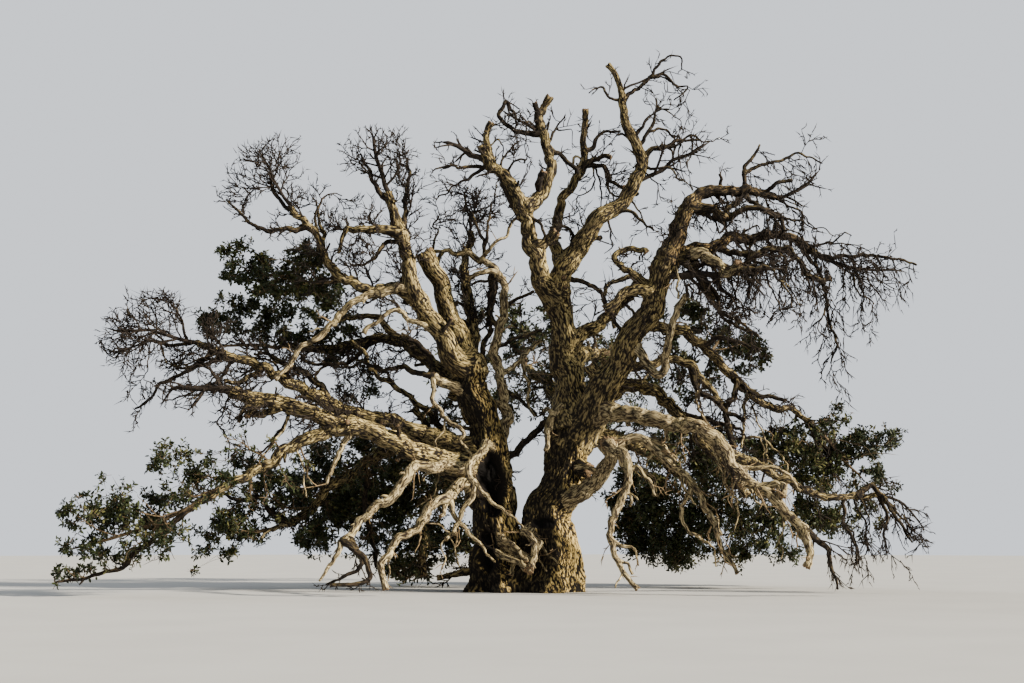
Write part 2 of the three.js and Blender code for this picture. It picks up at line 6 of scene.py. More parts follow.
import bpy
import numpy as np
from mathutils.kdtree import KDTree
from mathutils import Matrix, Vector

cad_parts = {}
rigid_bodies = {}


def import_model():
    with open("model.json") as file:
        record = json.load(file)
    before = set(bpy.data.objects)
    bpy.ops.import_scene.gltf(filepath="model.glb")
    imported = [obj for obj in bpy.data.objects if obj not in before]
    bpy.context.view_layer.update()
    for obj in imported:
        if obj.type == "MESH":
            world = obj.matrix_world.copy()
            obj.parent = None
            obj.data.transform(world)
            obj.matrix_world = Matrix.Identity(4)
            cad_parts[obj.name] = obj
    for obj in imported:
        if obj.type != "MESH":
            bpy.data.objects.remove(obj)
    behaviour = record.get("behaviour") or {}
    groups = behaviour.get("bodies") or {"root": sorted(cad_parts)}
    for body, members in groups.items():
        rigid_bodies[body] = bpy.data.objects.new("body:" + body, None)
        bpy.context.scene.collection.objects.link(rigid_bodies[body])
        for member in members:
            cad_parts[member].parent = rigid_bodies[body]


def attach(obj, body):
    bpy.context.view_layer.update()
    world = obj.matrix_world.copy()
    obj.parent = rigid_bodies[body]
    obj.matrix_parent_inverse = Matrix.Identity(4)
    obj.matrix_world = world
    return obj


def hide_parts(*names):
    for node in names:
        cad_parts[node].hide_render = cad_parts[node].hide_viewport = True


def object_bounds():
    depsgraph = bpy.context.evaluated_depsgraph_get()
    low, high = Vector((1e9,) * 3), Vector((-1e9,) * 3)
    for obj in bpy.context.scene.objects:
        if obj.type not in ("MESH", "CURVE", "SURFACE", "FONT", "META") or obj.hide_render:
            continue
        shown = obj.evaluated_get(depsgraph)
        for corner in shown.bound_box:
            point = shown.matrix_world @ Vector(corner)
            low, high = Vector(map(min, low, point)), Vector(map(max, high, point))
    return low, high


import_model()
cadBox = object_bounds()
goldenAngle = math.pi * (3 - math.sqrt(5))

# Limbs, a row each: name, parent, where it starts in hundredths of the parent's length, radius at
# start and tip in millimetres, bark, then the points on its way in decimetres. A limb that stands on
# the ground gives its spot there. A long row goes on in the next line, two spaces in.
framedLimbRows = """
trunk ground 0,0,0 780,540 t 1,0,13 3,0,23 6,0,35 8,0,46
west_stem ground -11.5,1.5,0 660,380 t -13,1,13 -14,2,29 -17,3,44 -21,4,65
crest_bough trunk 100 460,70 b 8,1,61 5.5,2,80 7,2,96 18,1,108 30,0,124 25,0,142 21,0,156
east_bough trunk 93 460,280 b 16,-6,53 20,-10,63 27,-14,75 34,-16,87 36,-17,93
broken_top_bough west_stem 95 370,230 b -23,6,70 -26,6,79 -28,5,88 -33.5,3,98.5
west_crown_bough west_stem 100 340,120 b -27,-2,70 -33,-5,81 -37,-7,90 -40,-8,100 -45,-10,115
back_west_bough west_stem 97 240,100 b -20,14,78 -22,18,89 -23,22,100 -21,24,109
braided_bough west_stem 60 190,90 d -10,8,50 -11,7,59 -13,6,71 -11,6,84 -14,8,96 -23,10,102
west_low_bough west_stem 47 360,160 b -29,-8,38 -41,-16,43 -56,-22,47 -85,-30,55
west_fork_bough west_low_bough 60 200,100 b -67,-26,41 -76,-30,35 -89,-34,26
west_mid_bough west_stem 58 300,90 b -38,6,48 -59,8,53 -71,6,60 -100,-5,72
west_shelf_bough west_stem 85 240,100 b -34,12,68 -43,18,75 -61,22,73 -78,24,74
northwest_bough west_crown_bough 45 190,80 b -42,-6,87 -55,-8,87 -62,-10,96 -72,-13,110
west_back_low_bough west_stem 38 280,120 b -33,20,39 -44,26,43 -55,30,38 -76,28,20
front_west_bough west_low_bough 10 190,90 d -30,-16,35 -36,-21,34 -40,-27,27 -46,-30,22 -53,-36,14
front_knee_bough west_stem 40 190,80 d -24,-10,31 -26,-16,25 -32,-22,23 -36,-26,17 -44,-31,8 -42,-32,2
front_hanging_bough west_stem 63 150,50 d -16,-10,42 -19,-15,35 -19,-16,27 -27,-18,15
west_crest_bough crest_bough 32 300,140 b -1,-3,93 -4,-4,102 -4,-5,111 -8,-6,119 -16,-8,124
crown_bough west_crest_bough 62 200,100 b 2,-2,119 3,-1,127 0,0,135 2.5,0,146
knotted_bough crest_bough 42 190,80 b 4,8,104 6,9,115 13,8,127 14,7,143
dark_reach_bough crest_bough 22 220,140 b 17,6,78 27,8,88
arch_bough east_bough 98 260,100 a 39,-19,100 42,-19,108 48,-18,113 59,-17,114 67,-15,112
arch_low_bough east_bough 100 200,90 a 45,-12,98 64,-4,103 75,-2,103 83,2,98
east_low_bough east_bough 12 260,120 d 20,-11,51 29,-16,48 45,-27,44 53,-31,34 69,-38,17
far_east_bough east_low_bough 60 140,70 b 69,-20,30 84,-14,27 96,-11,27
east_step_bough trunk 97 260,100 b 17,7,55 26,4,60 34,3,56 49,0,42 59,-4,28
east_mid_bough east_bough 70 170,80 b 44,-3,72 57,3,64 62,5,56 74,10,53 81,12,49
east_elbow_bough trunk 50 300,170 d 16,-9,32 19,-15,37 19,-20,41
hanging_bough east_elbow_bough 98 140,60 d 23,-26,37 22,-27,28 19,-29,20 18,-30,12 25,-33,2
east_droop_bough east_elbow_bough 93 140,50 d 28,-20,42 38,-25,33 44,-27,24 52,-31,6
back_low_bough west_stem 50 240,120 b -17,22,37 -28,37,33 -35,44,29
back_mid_bough trunk 95 250,120 b 3,16,59 -3,34,69
back_east_bough trunk 85 280,120 b 18,20,46 34,32,42 43,38,35
back_far_bough west_stem 80 270,120 b -25,30,62 -26,52,66 -22,67,61
back_far_east_bough crest_bough 15 270,120 b 14,26,72 20,48,75 24,64,70
"""

# Smaller limbs that only this script makes. They belong to the piece of the limb that they grow from.
# A hyphen stands for the parent of the row above.
sideLimbRows = """
hook_stub east_bough 84 110,70 b 25,-17,90 22,-17,92 21,-18,95 24,-18,97.5 27,-19,97 30,-19,95
light_riser - 61 150,90 d 32,-16,62 34,-18,67 36,-20,74 41,-22,82
arch_under_limb - 100 130,50 a 44,-20,95 48,-22,92 55,-24,90 60,-26,88
arch_under_fork arch_under_limb 79 80,30 a 62,-25,95 68,-26,95 71,-26,92 74,-27,88 77,-27,87
arch_loop arch_bough 40 70,30 a 51,-20,105 53,-21,110
arch_crook - 77 80,30 a 62,-20,107 67,-22,106 68,-23,102
arch_upright - 80 80,30 a 58,-17,118 63,-17,127
arch_upright_fork arch_upright 31 60,25 a 64,-16,121 70,-15,123 75,-15,125 80,-14,123
arch_low_end arch_low_bough 86 80,30 a 81,0,99 86,0,97 96,1,98 105,1,97 111,1,95
arch_low_drop - 86 70,25 a 81,0,94 84,0,85 86,0,73 85,0,66
arch_inner east_bough 100 100,40 a 43,-18,93 43,-19,90 48,-20,85 50,-21,80 52,-22,75 59,-23,71
crown_burl west_crown_bough 79 160,40 b -46,-10,104 -50,-11,103 -56,-13,102 -59,-14,96
crown_fork_west - 96 90,30 b -48,-10,116 -49,-11,121 -52,-12,126
crown_fork_east - 80 90,30 b -40,-7,113 -38,-6,120 -39,-5,126
northwest_side northwest_bough 82 90,30 b -69,-12,104 -76,-13,104 -79,-14,103 -86,-15,106 -90,-17,111
northwest_tip - 96 70,30 b -77,-12,114 -79,-11,120 -81,-11,124
northwest_rise - 70 70,30 b -64,-9,102 -66,-6,112
light_limb west_crown_bough 52 130,60 d -48,-9,85 -54,-10,83 -57,-10,81 -61,-12,74 -68,-13,69 -72,-14,63
  -75,-15,60
west_mid_low west_mid_bough 90 90,30 b -99,-4,65 -106,-6,65
west_mid_lower - 94 80,30 b -102,-2,65 -109,-1,60 -114,0,56 -119,0,53
west_fork_end west_fork_bough 100 100,30 b -94,-34,23 -107,-35,13 -110,-36,9 -117,-36,6 -129,-37,4
west_low_stub west_low_bough 90 90,70 b -80,-31,48
west_low_hook - 93 70,50 b -82,-27,50 -83,-26,48
west_low_drop - 58 100,40 d -53,-21,43 -55,-21,41 -56,-22,37 -59,-24,30
front_west_side front_west_bough 100 80,30 d -54,-37,12 -59,-39,4
front_west_prong - 97 80,30 b -51,-35,14 -48,-34,10 -49,-34,7 -58,-33,3
crest_west_stub west_crest_bough 100 130,90 b -17,-8,127 -18,-8,129
crest_west_prong - 98 120,80 b -16,-8,128 -17,-7,133 -15,-7,136
crest_west_arm - 97 70,20 b -22,-8,123 -28,-9,123 -31,-10,121
crest_west_low_arm - 100 60,20 b -21,-7,120 -25,-6,118 -30,-5,115
crown_prong crown_bough 79 100,70 b -1,-1,141 -2,-1,144
crown_arm - 69 90,30 b -2,0,135 -7,-1,136 -10,-1,138 -13,-2,140 -10,-2,144 -8,-2,141 -7,-3,136
crown_twig - 60 50,20 b 2,0,131 4,2,136 8,3,141
knotted_branch knotted_bough 79 80,30 b 16,9,134 20,10,138 25,10,139
knotted_stub - 65 100,60 b 13,8,127 17,7,129 21,6,129
knot_loop - 14 70,30 b 7,6,100 10,5,104 8,4,107 2,3,107
crest_top_arm crest_bough 90 70,20 b 26,0,147 30,0,149 33,0,152 35,0,156 38,0,159 42,0,158 43,0,155
crest_top_fork crest_top_arm 42 50,20 b 37,0,153 40,1,151 44,1,150 41,2,146
crest_top_left crest_bough 90 50,20 b 20,-1,146 18,-1,149 14,-2,147
crest_right_arm - 75 90,30 b 32,0,130 37,0,131 42,0,133 48,1,133
crest_right_twig - 80 60,20 b 31,-1,137 34,-2,141 38,-2,142
crest_low_arm - 59 70,30 b 26,0,112 29,-1,109 33,-1,105
east_low_fork east_low_bough 100 100,30 b 71,-38,16 75,-37,13 76,-36,10 76,-36,8 78,-35,4 78,-35,2
far_east_fork far_east_bough 99 60,20 b 101,-12,21 103,-12,21 105,-12,20
far_east_low - 99 60,20 b 97,-10,23 97,-9,17 98,-8,11
east_mid_end east_mid_bough 100 80,20 b 82,13,45 86,13,41 88,14,36 87,15,30
east_mid_stub - 57 90,50 b 60,3,60 64,1,57 70,-1,55
hanging_branch hanging_bough 68 60,20 d 23,-31,12 25,-32,8
droop_second east_droop_bough 6 90,30 d 23,-20,34 28,-20,34 31,-21,32 32,-22,27
droop_third - 52 70,20 d 38,-25,23 40,-25,18 46,-24,13 47,-23,7
front_cross_one west_stem 38 120,60 d -16,-3,19 -12,-6,16 -8,-10,13 -5,-14,9
front_cross_two front_hanging_bough 59 70,30 d -15,-17,26 -10,-17,22 -6,-18,18
front_cross_three front_knee_bough 41 80,30 d -22,-15,20 -18,-14,15 -13,-13,9
elbow_stub east_elbow_bough 62 80,50 d 14,-12,34 9,-13,35
shelf_fork west_shelf_bough 48 120,40 b -49,17,81 -57,16,82 -64,15,80
mid_upper_fork west_mid_bough 51 120,40 b -68,9,62 -78,11,68 -87,12,71
crown_west_limb west_crown_bough 74 80,30 b -45,-8,101 -49,-10,94 -55,-11,92
dark_reach_end dark_reach_bough 100 120,80 b 30,6,91 33,4,91 35,2,94
east_step_fork east_step_bough 61 100,30 b 47,2,50 56,4,48 62,5,44
east_low_side east_low_bough 69 80,30 d 59,-30,34 66,-29,32 70,-28,28
east_low_drop - 50 80,30 d 47,-27,38 49,-29,31 53,-30,24
east_mid_up east_mid_bough 34 90,30 b 53,-3,73 59,-4,71 64,-5,69
braid_tree_west braided_bough 92 60,20 b -17,9,103 -19,10,109 -21,11,113 -23,11,117 -22,12,122
braid_tree_east braid_tree_west 18 50,20 b -16,9,106 -15,10,110 -14,11,115 -14,12,121 -13,12,124
braid_light braided_bough 93 60,40 d -13,7,104 -10,7,105 -8,6,109 -6,5,111
braid_end - 100 80,50 d -25,10,101 -28,9,101 -32,8,100
braid_second - 59 80,60 b -14,6,80 -15,7,84 -14,8,90 -13,8,92
braid_dark west_stem 98 100,70 b -17,6,67 -16,8,74 -14,9,78
braid_link_low braided_bough 39 80,60 d -8,8,66 -5,10,69 -2,12,72 1,14,74
braid_drop braid_link_low 47 60,40 d -5,9,65 -3,9,61 -3,8,55 -2,8,51
braid_link_high braided_bough 50 70,50 b -8,9,74 -3,12,76 1,15,77
braid_link_top - 67 60,40 b -8,8,86 -5,10,88 -2,12,90
braid_low_arm - 32 60,50 b -7,8,57 -4,10,55 -1,11,51
crest_west_under west_crest_bough 92 50,20 b -17,-8,121 -19,-9,120
crest_west_drop - 87 90,60 b -10,-5,118 -9,-4,114 -8,-3,111 -7,-2,109
crest_west_shrub - 88 40,20 b -10,-5,126 -9,-4,129 -7,-3,131
crest_west_curl - 85 40,30 b -7,-8,124 -5,-8,124 -5,-9,123
crown_knob crown_bough 19 80,90 b -1,-4,120 0,-5,122
broken_top_twig broken_top_bough 94 50,20 b -30,4,105 -31,4,107 -30,5,110 -31,5,112
shelf_elbow west_stem 91 170,130 d -23,3,58 -26,2,59 -29,1,60 -31,0,61
elbow_drop shelf_elbow 100 70,50 d -31,-1,58 -31,-1,55 -28,-2,50 -25,-3,48 -22,-3,46 -23,-4,43 -22,-4,41
  -20,-5,37
elbow_back_arm - 100 100,70 b -32,2,66 -35,4,70 -38,6,73 -42,8,76
elbow_west_arm - 100 90,30 b -37,1,63 -41,2,65 -48,3,64 -53,4,67 -56,4,66 -62,5,67
stem_strand west_stem 71 150,120 b -12,3,43 -10,3,36 -9,2,30 -8,2,25 -8,2,22 -8,1,13 -7,0,6
stem_to_trunk stem_strand 22 100,90 b -8,4,40 -5,4,43 -2,5,47 1,6,49 5,7,53
pale_claw trunk 100 120,60 d 7,-3,53 5,-4,51 3,-6,47 2,-8,43 1,-9,40
claw_finger pale_claw 49 65,40 d 2,-5,52 1,-5,51
front_log west_stem 34 165,135 d -16,-1,20 -12,-5,15 -10,-7,13 -5,-11,10 -4,-12,8
front_log_under - 30 105,80 d -17,-2,18 -16,-6,13 -13,-8,11 -10,-11,10 -7,-13,9 -5,-15,7
front_prop front_log 76 70,55 d -8,-10,9 -9,-11,5
base_arm trunk 45 110,90 d -5,-7,18 -3,-10,15 -3,-13,10 -4,-16,7
base_string - 43 45,20 d -2,-5,16 2,-9,11 6,-13,7
base_string_low - 29 35,20 d 0,-5,11 0,-9,8 1,-12,6
back_low_return west_back_low_bough 100 100,40 b -82,26,24 -85,25,27 -91,24,27 -97,22,29
back_low_stub - 100 70,40 d -82,26,18 -85,25,15
west_low_second_drop west_low_bough 80 60,25 b -72,-23,45 -74,-23,42 -78,-21,38
west_pale_string west_fork_bough 36 30,15 d -66,-27,37 -65,-28,32 -64,-29,26
back_low_twig west_back_low_bough 84 45,20 d -66,29,31 -70,27,31 -73,25,27
pale_string_one elbow_drop 44 30,15 d -28,-3,46 -30,-3,43 -28,-4,37 -30,-5,33 -30,-5,29 -35,-6,24
pale_string_two front_hanging_bough 96 30,15 d -28,-18,13 -27,-19,10 -28,-20,7
pale_string_three - 94 30,15 d -30,-20,19 -34,-22,19
pale_string_four - 97 25,15 d -24,-17,12 -23,-16,8
knee_stub front_knee_bough 42 80,50 d -27,-19,22 -28,-20,21
knee_twig - 83 35,20 d -42,-29,9 -42,-27,4
back_prop_one back_low_bough 97 160,120 b -36,42,22 -36,38,4
back_prop_two west_back_low_bough 66 100,60 b -53,30,27 -52,31,18 -50,32,6
dark_vine east_bough 57 60,25 b 24,-13,73 21,-14,75 19,-15,79 18,-16,82 17,-17,85 13,-18,87
dark_vine_low - 58 50,30 b 26,-15,66 27,-17,62 28,-19,58
cross_vine dark_reach_bough 82 50,20 b 26,6,84 29,-1,80 31,-7,76 35,-13,74 38,-18,73
east_drape east_bough 36 160,50 b 23,-8,63 27,-6,65 34,-5,66 43,-3,65 48,-1,60 52,0,56 54,1,52 55,2,48
  57,3,42
east_drape_side east_drape 57 50,20 b 46,-3,55 47,-4,51 50,-5,47
east_mid_pale east_mid_bough 65 60,30 d 60,3,49 58,1,42
pale_string_five - 70 30,15 d 63,4,51 66,1,44 65,-1,39 65,-2,35 66,-3,32
hanging_short hanging_bough 34 40,25 d 23,-28,26 23,-28,23
hanging_bar - 77 50,40 d 21,-30,9 23,-29,8 24,-28,6
droop_upper east_droop_bough 10 70,50 d 30,-18,42 33,-17,40 37,-16,36
droop_spur - 43 50,20 d 39,-27,28 42,-28,24
droop_fork - 70 60,30 d 48,-26,19 50,-25,16
low_curl east_low_bough 80 100,90 d 60,-33,29 63,-34,29 64,-35,28 64,-36,25
low_stub - 72 70,50 d 55,-34,30 53,-35,29
low_string_one - 78 30,15 d 57,-33,28 59,-36,23
low_string_two - 69 30,15 d 51,-34,29 49,-36,25
low_elbow - 100 110,90 d 70,-40,12 68,-41,8
far_east_drop far_east_bough 77 50,30 b 84,-15,20 86,-16,15 87,-16,12 87,-17,8
far_east_drop_two - 84 40,20 b 89,-13,23 91,-12,18 91,-10,11
west_mid_third west_mid_bough 87 60,20 b -94,0,61 -98,1,59 -103,1,57 -109,2,56
west_mid_stub - 79 80,60 b -84,0,63 -88,-1,61 -92,-3,60
west_mid_fan_one - 69 50,20 b -75,5,66 -81,7,70 -86,8,71 -93,9,73
west_mid_fan_two - 65 45,20 b -74,5,63 -80,3,67 -85,2,68 -90,1,70
shelf_low_limb west_shelf_bough 58 90,30 b -54,19,71 -61,17,68 -68,16,68 -74,14,72
shelf_link shelf_low_limb 59 40,30 b -67,15,64 -66,14,59
arch_fringe_one arch_low_bough 45 45,20 a 60,-6,98 62,-6,93 63,-5,87
arch_fringe_two - 61 45,20 a 68,-5,99 70,-6,94 70,-7,87
arch_fringe_three - 79 45,20 a 75,-1,98 78,0,92 79,1,85
arch_fringe_four arch_low_end 45 35,15 a 93,1,94 95,2,90 96,3,85
arch_fringe_five arch_low_bough 30 45,20 a 52,-11,95 54,-13,90 54,-14,84
cut_scar trunk 77 200,170 t 12,-4.2,35 13.6,-5.5,35
arch_left_stem east_bough 96 110,80 a 35,-18,96 36,-18,100 37,-19,103 39,-19,106 40,-19,108 42,-20,109
arch_knot arch_bough 40 150,120 a 46,-20,108 49,-21,107 52,-21,105
arch_knot_rise arch_knot 97 90,60 a 53,-20,108 55,-19,110 57,-19,112 59,-18,114
arch_spike arch_bough 62 50,40 a 51,-18,116 51,-19,118
arch_broken_arm - 92 60,50 a 67,-18,115 71,-19,116
arch_second arch_knot 95 90,50 a 54,-21,106 58,-22,107 63,-22,106 67,-22,105 68,-23,102 68,-23,100
arch_second_end arch_second 76 35,12 a 71,-23,104 73,-23,104 76,-24,102 79,-24,101 81,-25,99
arch_end_drop arch_bough 100 40,20 a 74,-16,109 75,-16,106 74,-17,101
arch_end_twig - 100 30,12 a 74,-13,111 77,-12,110
arch_low_lift arch_low_bough 52 80,50 a 61,-6,101 63,-7,102 66,-8,103
arch_belly arch_under_limb 26 140,100 d 46,-22,94 49,-24,92 51,-25,89 54,-27,90 54,-28,91
arch_belly_run arch_belly 86 60,20 a 56,-27,88 59,-28,88 62,-28,89 64,-29,88 66,-29,85 68,-30,82
  68,-30,78
arch_middle arch_low_bough 34 100,70 a 55,-10,97 59,-11,96 62,-12,96 65,-13,97 69,-14,98 72,-14,95
  74,-15,92 76,-16,89 79,-17,88 82,-17,88
arch_middle_stub arch_middle 24 50,40 a 61,-13,95 64,-14,94
arch_top_loop arch_low_bough 51 35,20 a 60,-5,105 63,-5,106 64,-5,105
arch_top_loop_two - 68 35,20 a 69,-3,107 70,-3,107 72,-3,104
arch_top_reach - 87 50,15 a 82,-1,101 85,-2,101 88,-3,103 89,-4,104 91,-4,103
arch_top_reach_two arch_top_reach 46 30,12 a 88,-3,101 91,-4,100 94,-5,100
arch_weave arch_knot 38 35,20 a 49,-21,103 50,-23,100 52,-23,102 54,-24,105 55,-25,107
arch_weave_two arch_low_bough 53 40,15 a 62,-8,98 66,-10,96 68,-12,94 68,-14,90
arch_weave_three arch_second 48 35,15 a 64,-23,105 67,-23,102 69,-24,101 72,-24,100 75,-25,96
end_drop_one arch_low_end 47 40,20 b 92,-0,92 93,-1,88 95,-2,85 97,-2,83
end_drop_two - 66 30,12 b 101,0,94 101,-0,90 104,-1,87
end_drop_three - 81 20,10 b 105,2,94 105,2,92
end_drop_four - 93 20,10 b 109,2,93 109,2,91
end_drop_five arch_low_bough 100 35,15 b 89,1,97 90,1,94 89,-0,90 89,-1,86 87,-1,83
end_drop_six arch_middle 84 30,12 b 77,-17,85 76,-18,81
long_drop_side arch_low_drop 52 30,12 b 83,-1,81 81,-1,77 81,-2,73
long_drop_cross long_drop_side 29 25,15 b 84,-0,79 86,1,77
belly_drop_one arch_belly 57 35,15 b 49,-25,87 49,-26,83 50,-26,80
belly_drop_two - 71 35,15 b 53,-25,86 54,-24,84 54,-24,81
belly_drop_three arch_belly_run 5 30,12 b 54,-27,84 55,-27,80 55,-28,77
belly_drop_four - 34 30,12 b 60,-28,85 59,-29,81 59,-29,77
belly_drop_five - 40 35,12 b 63,-27,85 65,-27,82 66,-27,78 66,-26,74
belly_drop_six - 66 25,12 b 68,-28,84 70,-28,81 71,-27,78
arch_under_reach arch_inner 7 110,30 a 42,-19,90 45,-21,87 47,-22,83 49,-24,79 52,-26,75 55,-28,73
  59,-29,70
arch_under_twig light_riser 100 50,20 a 41,-25,85 42,-26,83 42,-28,80
crown_link crown_bough 56 80,60 b 6,1,129 9,1,126 11,2,124
crown_fan knotted_bough 68 80,50 b 17,8,127 20,7,126 22,6,123 24,6,121 26,5,120
crown_fan_low crown_fan 48 50,30 b 21,6,121 22,6,119 25,5,118
crown_fan_drop - 19 30,14 b 16,7,122 15,7,119 11,6,117 10,6,115 11,5,113
crown_fan_string - 23 35,14 b 18,9,122 19,10,117 18,11,112
crown_ring knotted_bough 65 45,35 d 10,8,127 10,7,129 11,7,130 12,7,129 11,6,126 11,5,124
crest_spike crest_bough 78 60,30 b 33,0,136 34,1,139 35,1,143 35,2,146
crest_spike_side crest_spike 83 30,20 b 36,1,143 38,2,144
crest_spike_arc - 81 30,12 b 39,2,142 42,2,141 43,3,139 43,3,138
crest_drape - 32 45,14 b 37,0,136 40,1,135 42,1,134 41,2,130 42,2,127 42,2,124 42,3,121
crest_reach crest_bough 76 60,14 b 36,-1,131 40,-2,131 43,-2,133 45,-2,134 48,-3,132 51,-3,133 53,-3,134
crest_reach_drop crest_reach 65 35,12 b 45,-2,129 44,-3,125 45,-3,122
crest_reach_fall - 33 35,12 b 40,-1,128 40,-0,124 40,1,120
crest_swing crest_bough 73 50,14 b 35,-2,125 39,-2,124 40,-3,120 43,-4,119 44,-4,117
crest_fall - 72 30,12 b 34,1,120 35,2,117 36,3,114
crest_low_fall - 64 35,12 b 28,1,114 30,2,110 31,3,107 32,3,104
crest_low_string - 59 40,14 b 21,-0,104 20,-1,101 18,-1,99
crest_top_run crest_top_arm 41 35,12 b 37,1,152 40,1,151 44,2,150 45,2,149
crest_top_hang crest_top_run 59 20,10 b 43,2,149 42,2,146
crest_burl west_crest_bough 40 160,120 b 1,-5,101 4,-6,104
crest_burl_string - 58 50,40 b -0,-6,106 1,-8,103
crest_prong_arc crest_west_prong 43 30,14 b -13,-8,131 -11,-9,128 -11,-10,125
crown_hook crown_bough 74 40,30 b -3,-1,138 -5,-2,138
crown_hook_drop crown_hook 92 25,12 b -4,-2,134 -5,-2,130 -4,-3,127
crown_twig_side crown_twig 60 30,12 b 6,3,137 9,3,137 10,3,136
middle_arm crest_bough 38 80,50 b 12,4,92 15,6,91 18,7,88 20,8,84 21,9,82
middle_tan_arm dark_reach_end 37 80,50 d 27,7,93 23,8,92 19,9,90 19,9,86 21,10,83 23,11,79
middle_burl east_bough 86 170,120 b 25,-17,84 22,-18,81 19,-18,79
east_strings - 100 45,30 d 38,-19,90 38,-21,86 39,-23,81
braid_bar braided_bough 81 80,70 d -15,7,94 -18,6,93 -21,5,92
braid_bar_low - 77 50,40 b -14,8,91 -21,11,91
braid_stem - 84 100,90 b -15,9,91 -16,12,85 -16,14,79
stem_behind west_stem 76 130,100 b -21,6,50 -23,8,53 -24,10,56 -27,12,58
stem_behind_two west_mid_bough 5 130,100 b -25,6,40 -30,8,42 -33,10,45 -34,11,49 -37,13,53
fork_burl east_bough 35 200,160 b 17,-9,60 15,-9,62 14,-9,64
east_pale_arc hanging_bough 26 60,40 d 26,-27,34 28,-27,32 30,-28,30 31,-29,27
base_elbow trunk 47 95,75 d -3,-7,16 -1,-9,14 -3,-13,10 -4,-16,6
base_dark_limb west_stem 13 140,70 b -20,2,6 -25,3,5 -30,3,4
west_break west_low_bough 75 120,80 b -71,-26,51 -75,-27,52 -78,-27,54 -81,-28,55 -86,-29,56
west_hook west_break 44 70,50 b -78,-28,52 -81,-29,51 -82,-29,50 -83,-30,47
west_blunt - 30 110,90 b -75,-25,49 -81,-23,49
west_string - 85 30,14 b -86,-29,53 -88,-29,48 -89,-29,46 -86,-30,43 -85,-30,37
west_grey_drop west_low_second_drop 21 40,25 d -72,-26,43 -76,-28,38 -78,-29,34
west_reach_fork west_mid_third 15 35,14 b -95,-1,61 -98,-2,57 -102,-3,55 -105,-4,57
west_light_stub west_mid_stub 31 45,30 d -88,-2,61 -92,-4,60
west_dark_prop front_west_bough 100 90,50 b -50,-37,12 -46,-38,8 -47,-38,4 -56,-40,3
nw_side northwest_bough 78 50,15 b -65,-10,107 -64,-9,112 -60,-8,114 -58,-8,114
west_tip_run west_mid_bough 100 60,14 b -106,-5,72 -111,-6,71 -118,-6,70 -123,-7,68 -127,-7,69
west_tip_fork west_tip_run 9 45,14 b -106,-4,79 -108,-4,83 -111,-3,85 -117,-3,85
west_tip_fan - 30 35,12 b -115,-4,77 -119,-4,80 -121,-3,83
west_tip_loop - 39 30,20 b -108,-7,67 -105,-7,65 -100,-8,65 -96,-9,67
west_tip_drop - 45 25,12 b -113,-7,66 -114,-8,60
east_red_stem east_mid_bough 53 90,70 b 58,2,61 57,1,57 54,0,53 54,-1,47 56,-2,41
east_dark_run east_drape 50 100,60 b 46,-2,58 51,-2,55 55,-1,51 59,-1,49
east_thin_run east_dark_run 26 40,30 d 45,-4,54 47,-5,50 49,-6,47
far_east_turn far_east_bough 85 90,30 b 93,-14,29 96,-14,27 99,-15,22 101,-15,19 103,-15,15
far_east_tip far_east_turn 74 30,15 b 102,-15,22 103,-16,19
far_east_hang - 40 35,14 b 97,-15,21 95,-16,16 96,-17,11
far_east_long far_east_bough 78 40,20 b 84,-14,21 87,-14,15 88,-15,12 88,-15,7
far_east_short - 88 30,14 b 92,-13,22 91,-12,16 91,-12,12
east_pale_loop east_low_bough 80 70,50 d 62,-34,30 63,-35,27 63,-36,24 64,-37,23
east_string_one - 76 30,20 d 57,-35,25 59,-37,23
east_string_two - 75 25,15 d 55,-34,28 54,-36,24
east_string_three - 68 30,20 d 53,-33,32 53,-35,29
east_brown_brace - 56 70,50 b 49,-30,38 51,-32,35 51,-34,31
east_arc east_step_fork 100 40,20 d 66,4,44 68,3,42 70,2,39 71,0,35 71,-1,30
east_drop_string east_arc 18 30,20 d 66,2,38 65,0,35
east_grey_string east_low_bough 90 30,14 d 62,-37,15 63,-38,12 62,-39,9
east_grey_string_two east_low_drop 96 30,14 d 52,-28,18 50,-26,13
behind_shelf west_stem 66 120,50 b -26,8,45 -30,12,49 -34,12,53 -38,11,56 -43,10,60 -47,10,62 -51,10,66
  -53,10,71 -57,11,74
behind_shelf_twig behind_shelf 62 50,20 b -48,8,66 -51,6,68 -55,6,68
tan_fork west_crown_bough 25 85,60 d -35,-7,76.5 -39,-8,78 -43,-9,80 -46,-10,77.5 -50,-10,74.4
tan_fork_up tan_fork 50 45,20 b -45,-8,84 -47,-7,86
"""

# Masses, a row each: name, its limb, where on it in hundredths, then centre, half sizes and the point
# that its stem reaches, in decimetres.
leafyMassRows = """
far_west_leaves west_fork_bough 100 -109,-34,20 24,18,16 -128,-36,11
west_low_leaves west_back_low_bough 100 -85,26,20 18,18,16 -97,25,17
west_under_leaves west_back_low_bough 60 -60,43,35 19,15,14 -64,52,37
back_west_leaves back_low_bough 100 -40,53,25 17,16,18 -44,62,23
west_high_leaves northwest_bough 42 -74,4,94 20,15,13 -89,9,95
west_shelf_leaves west_shelf_bough 100 -87,24,75 20,15,10 -101,23,74
back_mid_leaves back_mid_bough 100 -6,46,74 17,16,15 -9,56,79
east_high_leaves east_mid_bough 42 54,14,74 15,15,13 56,21,80
east_low_leaves east_mid_bough 100 90,13,38 20,19,19 98,14,31
east_inner_leaves back_east_bough 100 50,46,28 22,18,19 58,53,24
back_far_leaves back_far_bough 100 -22,80,56 20,17,17 -22,90,53
back_far_east_leaves back_far_east_bough 100 26,76,64 20,17,17 28,86,61
"""
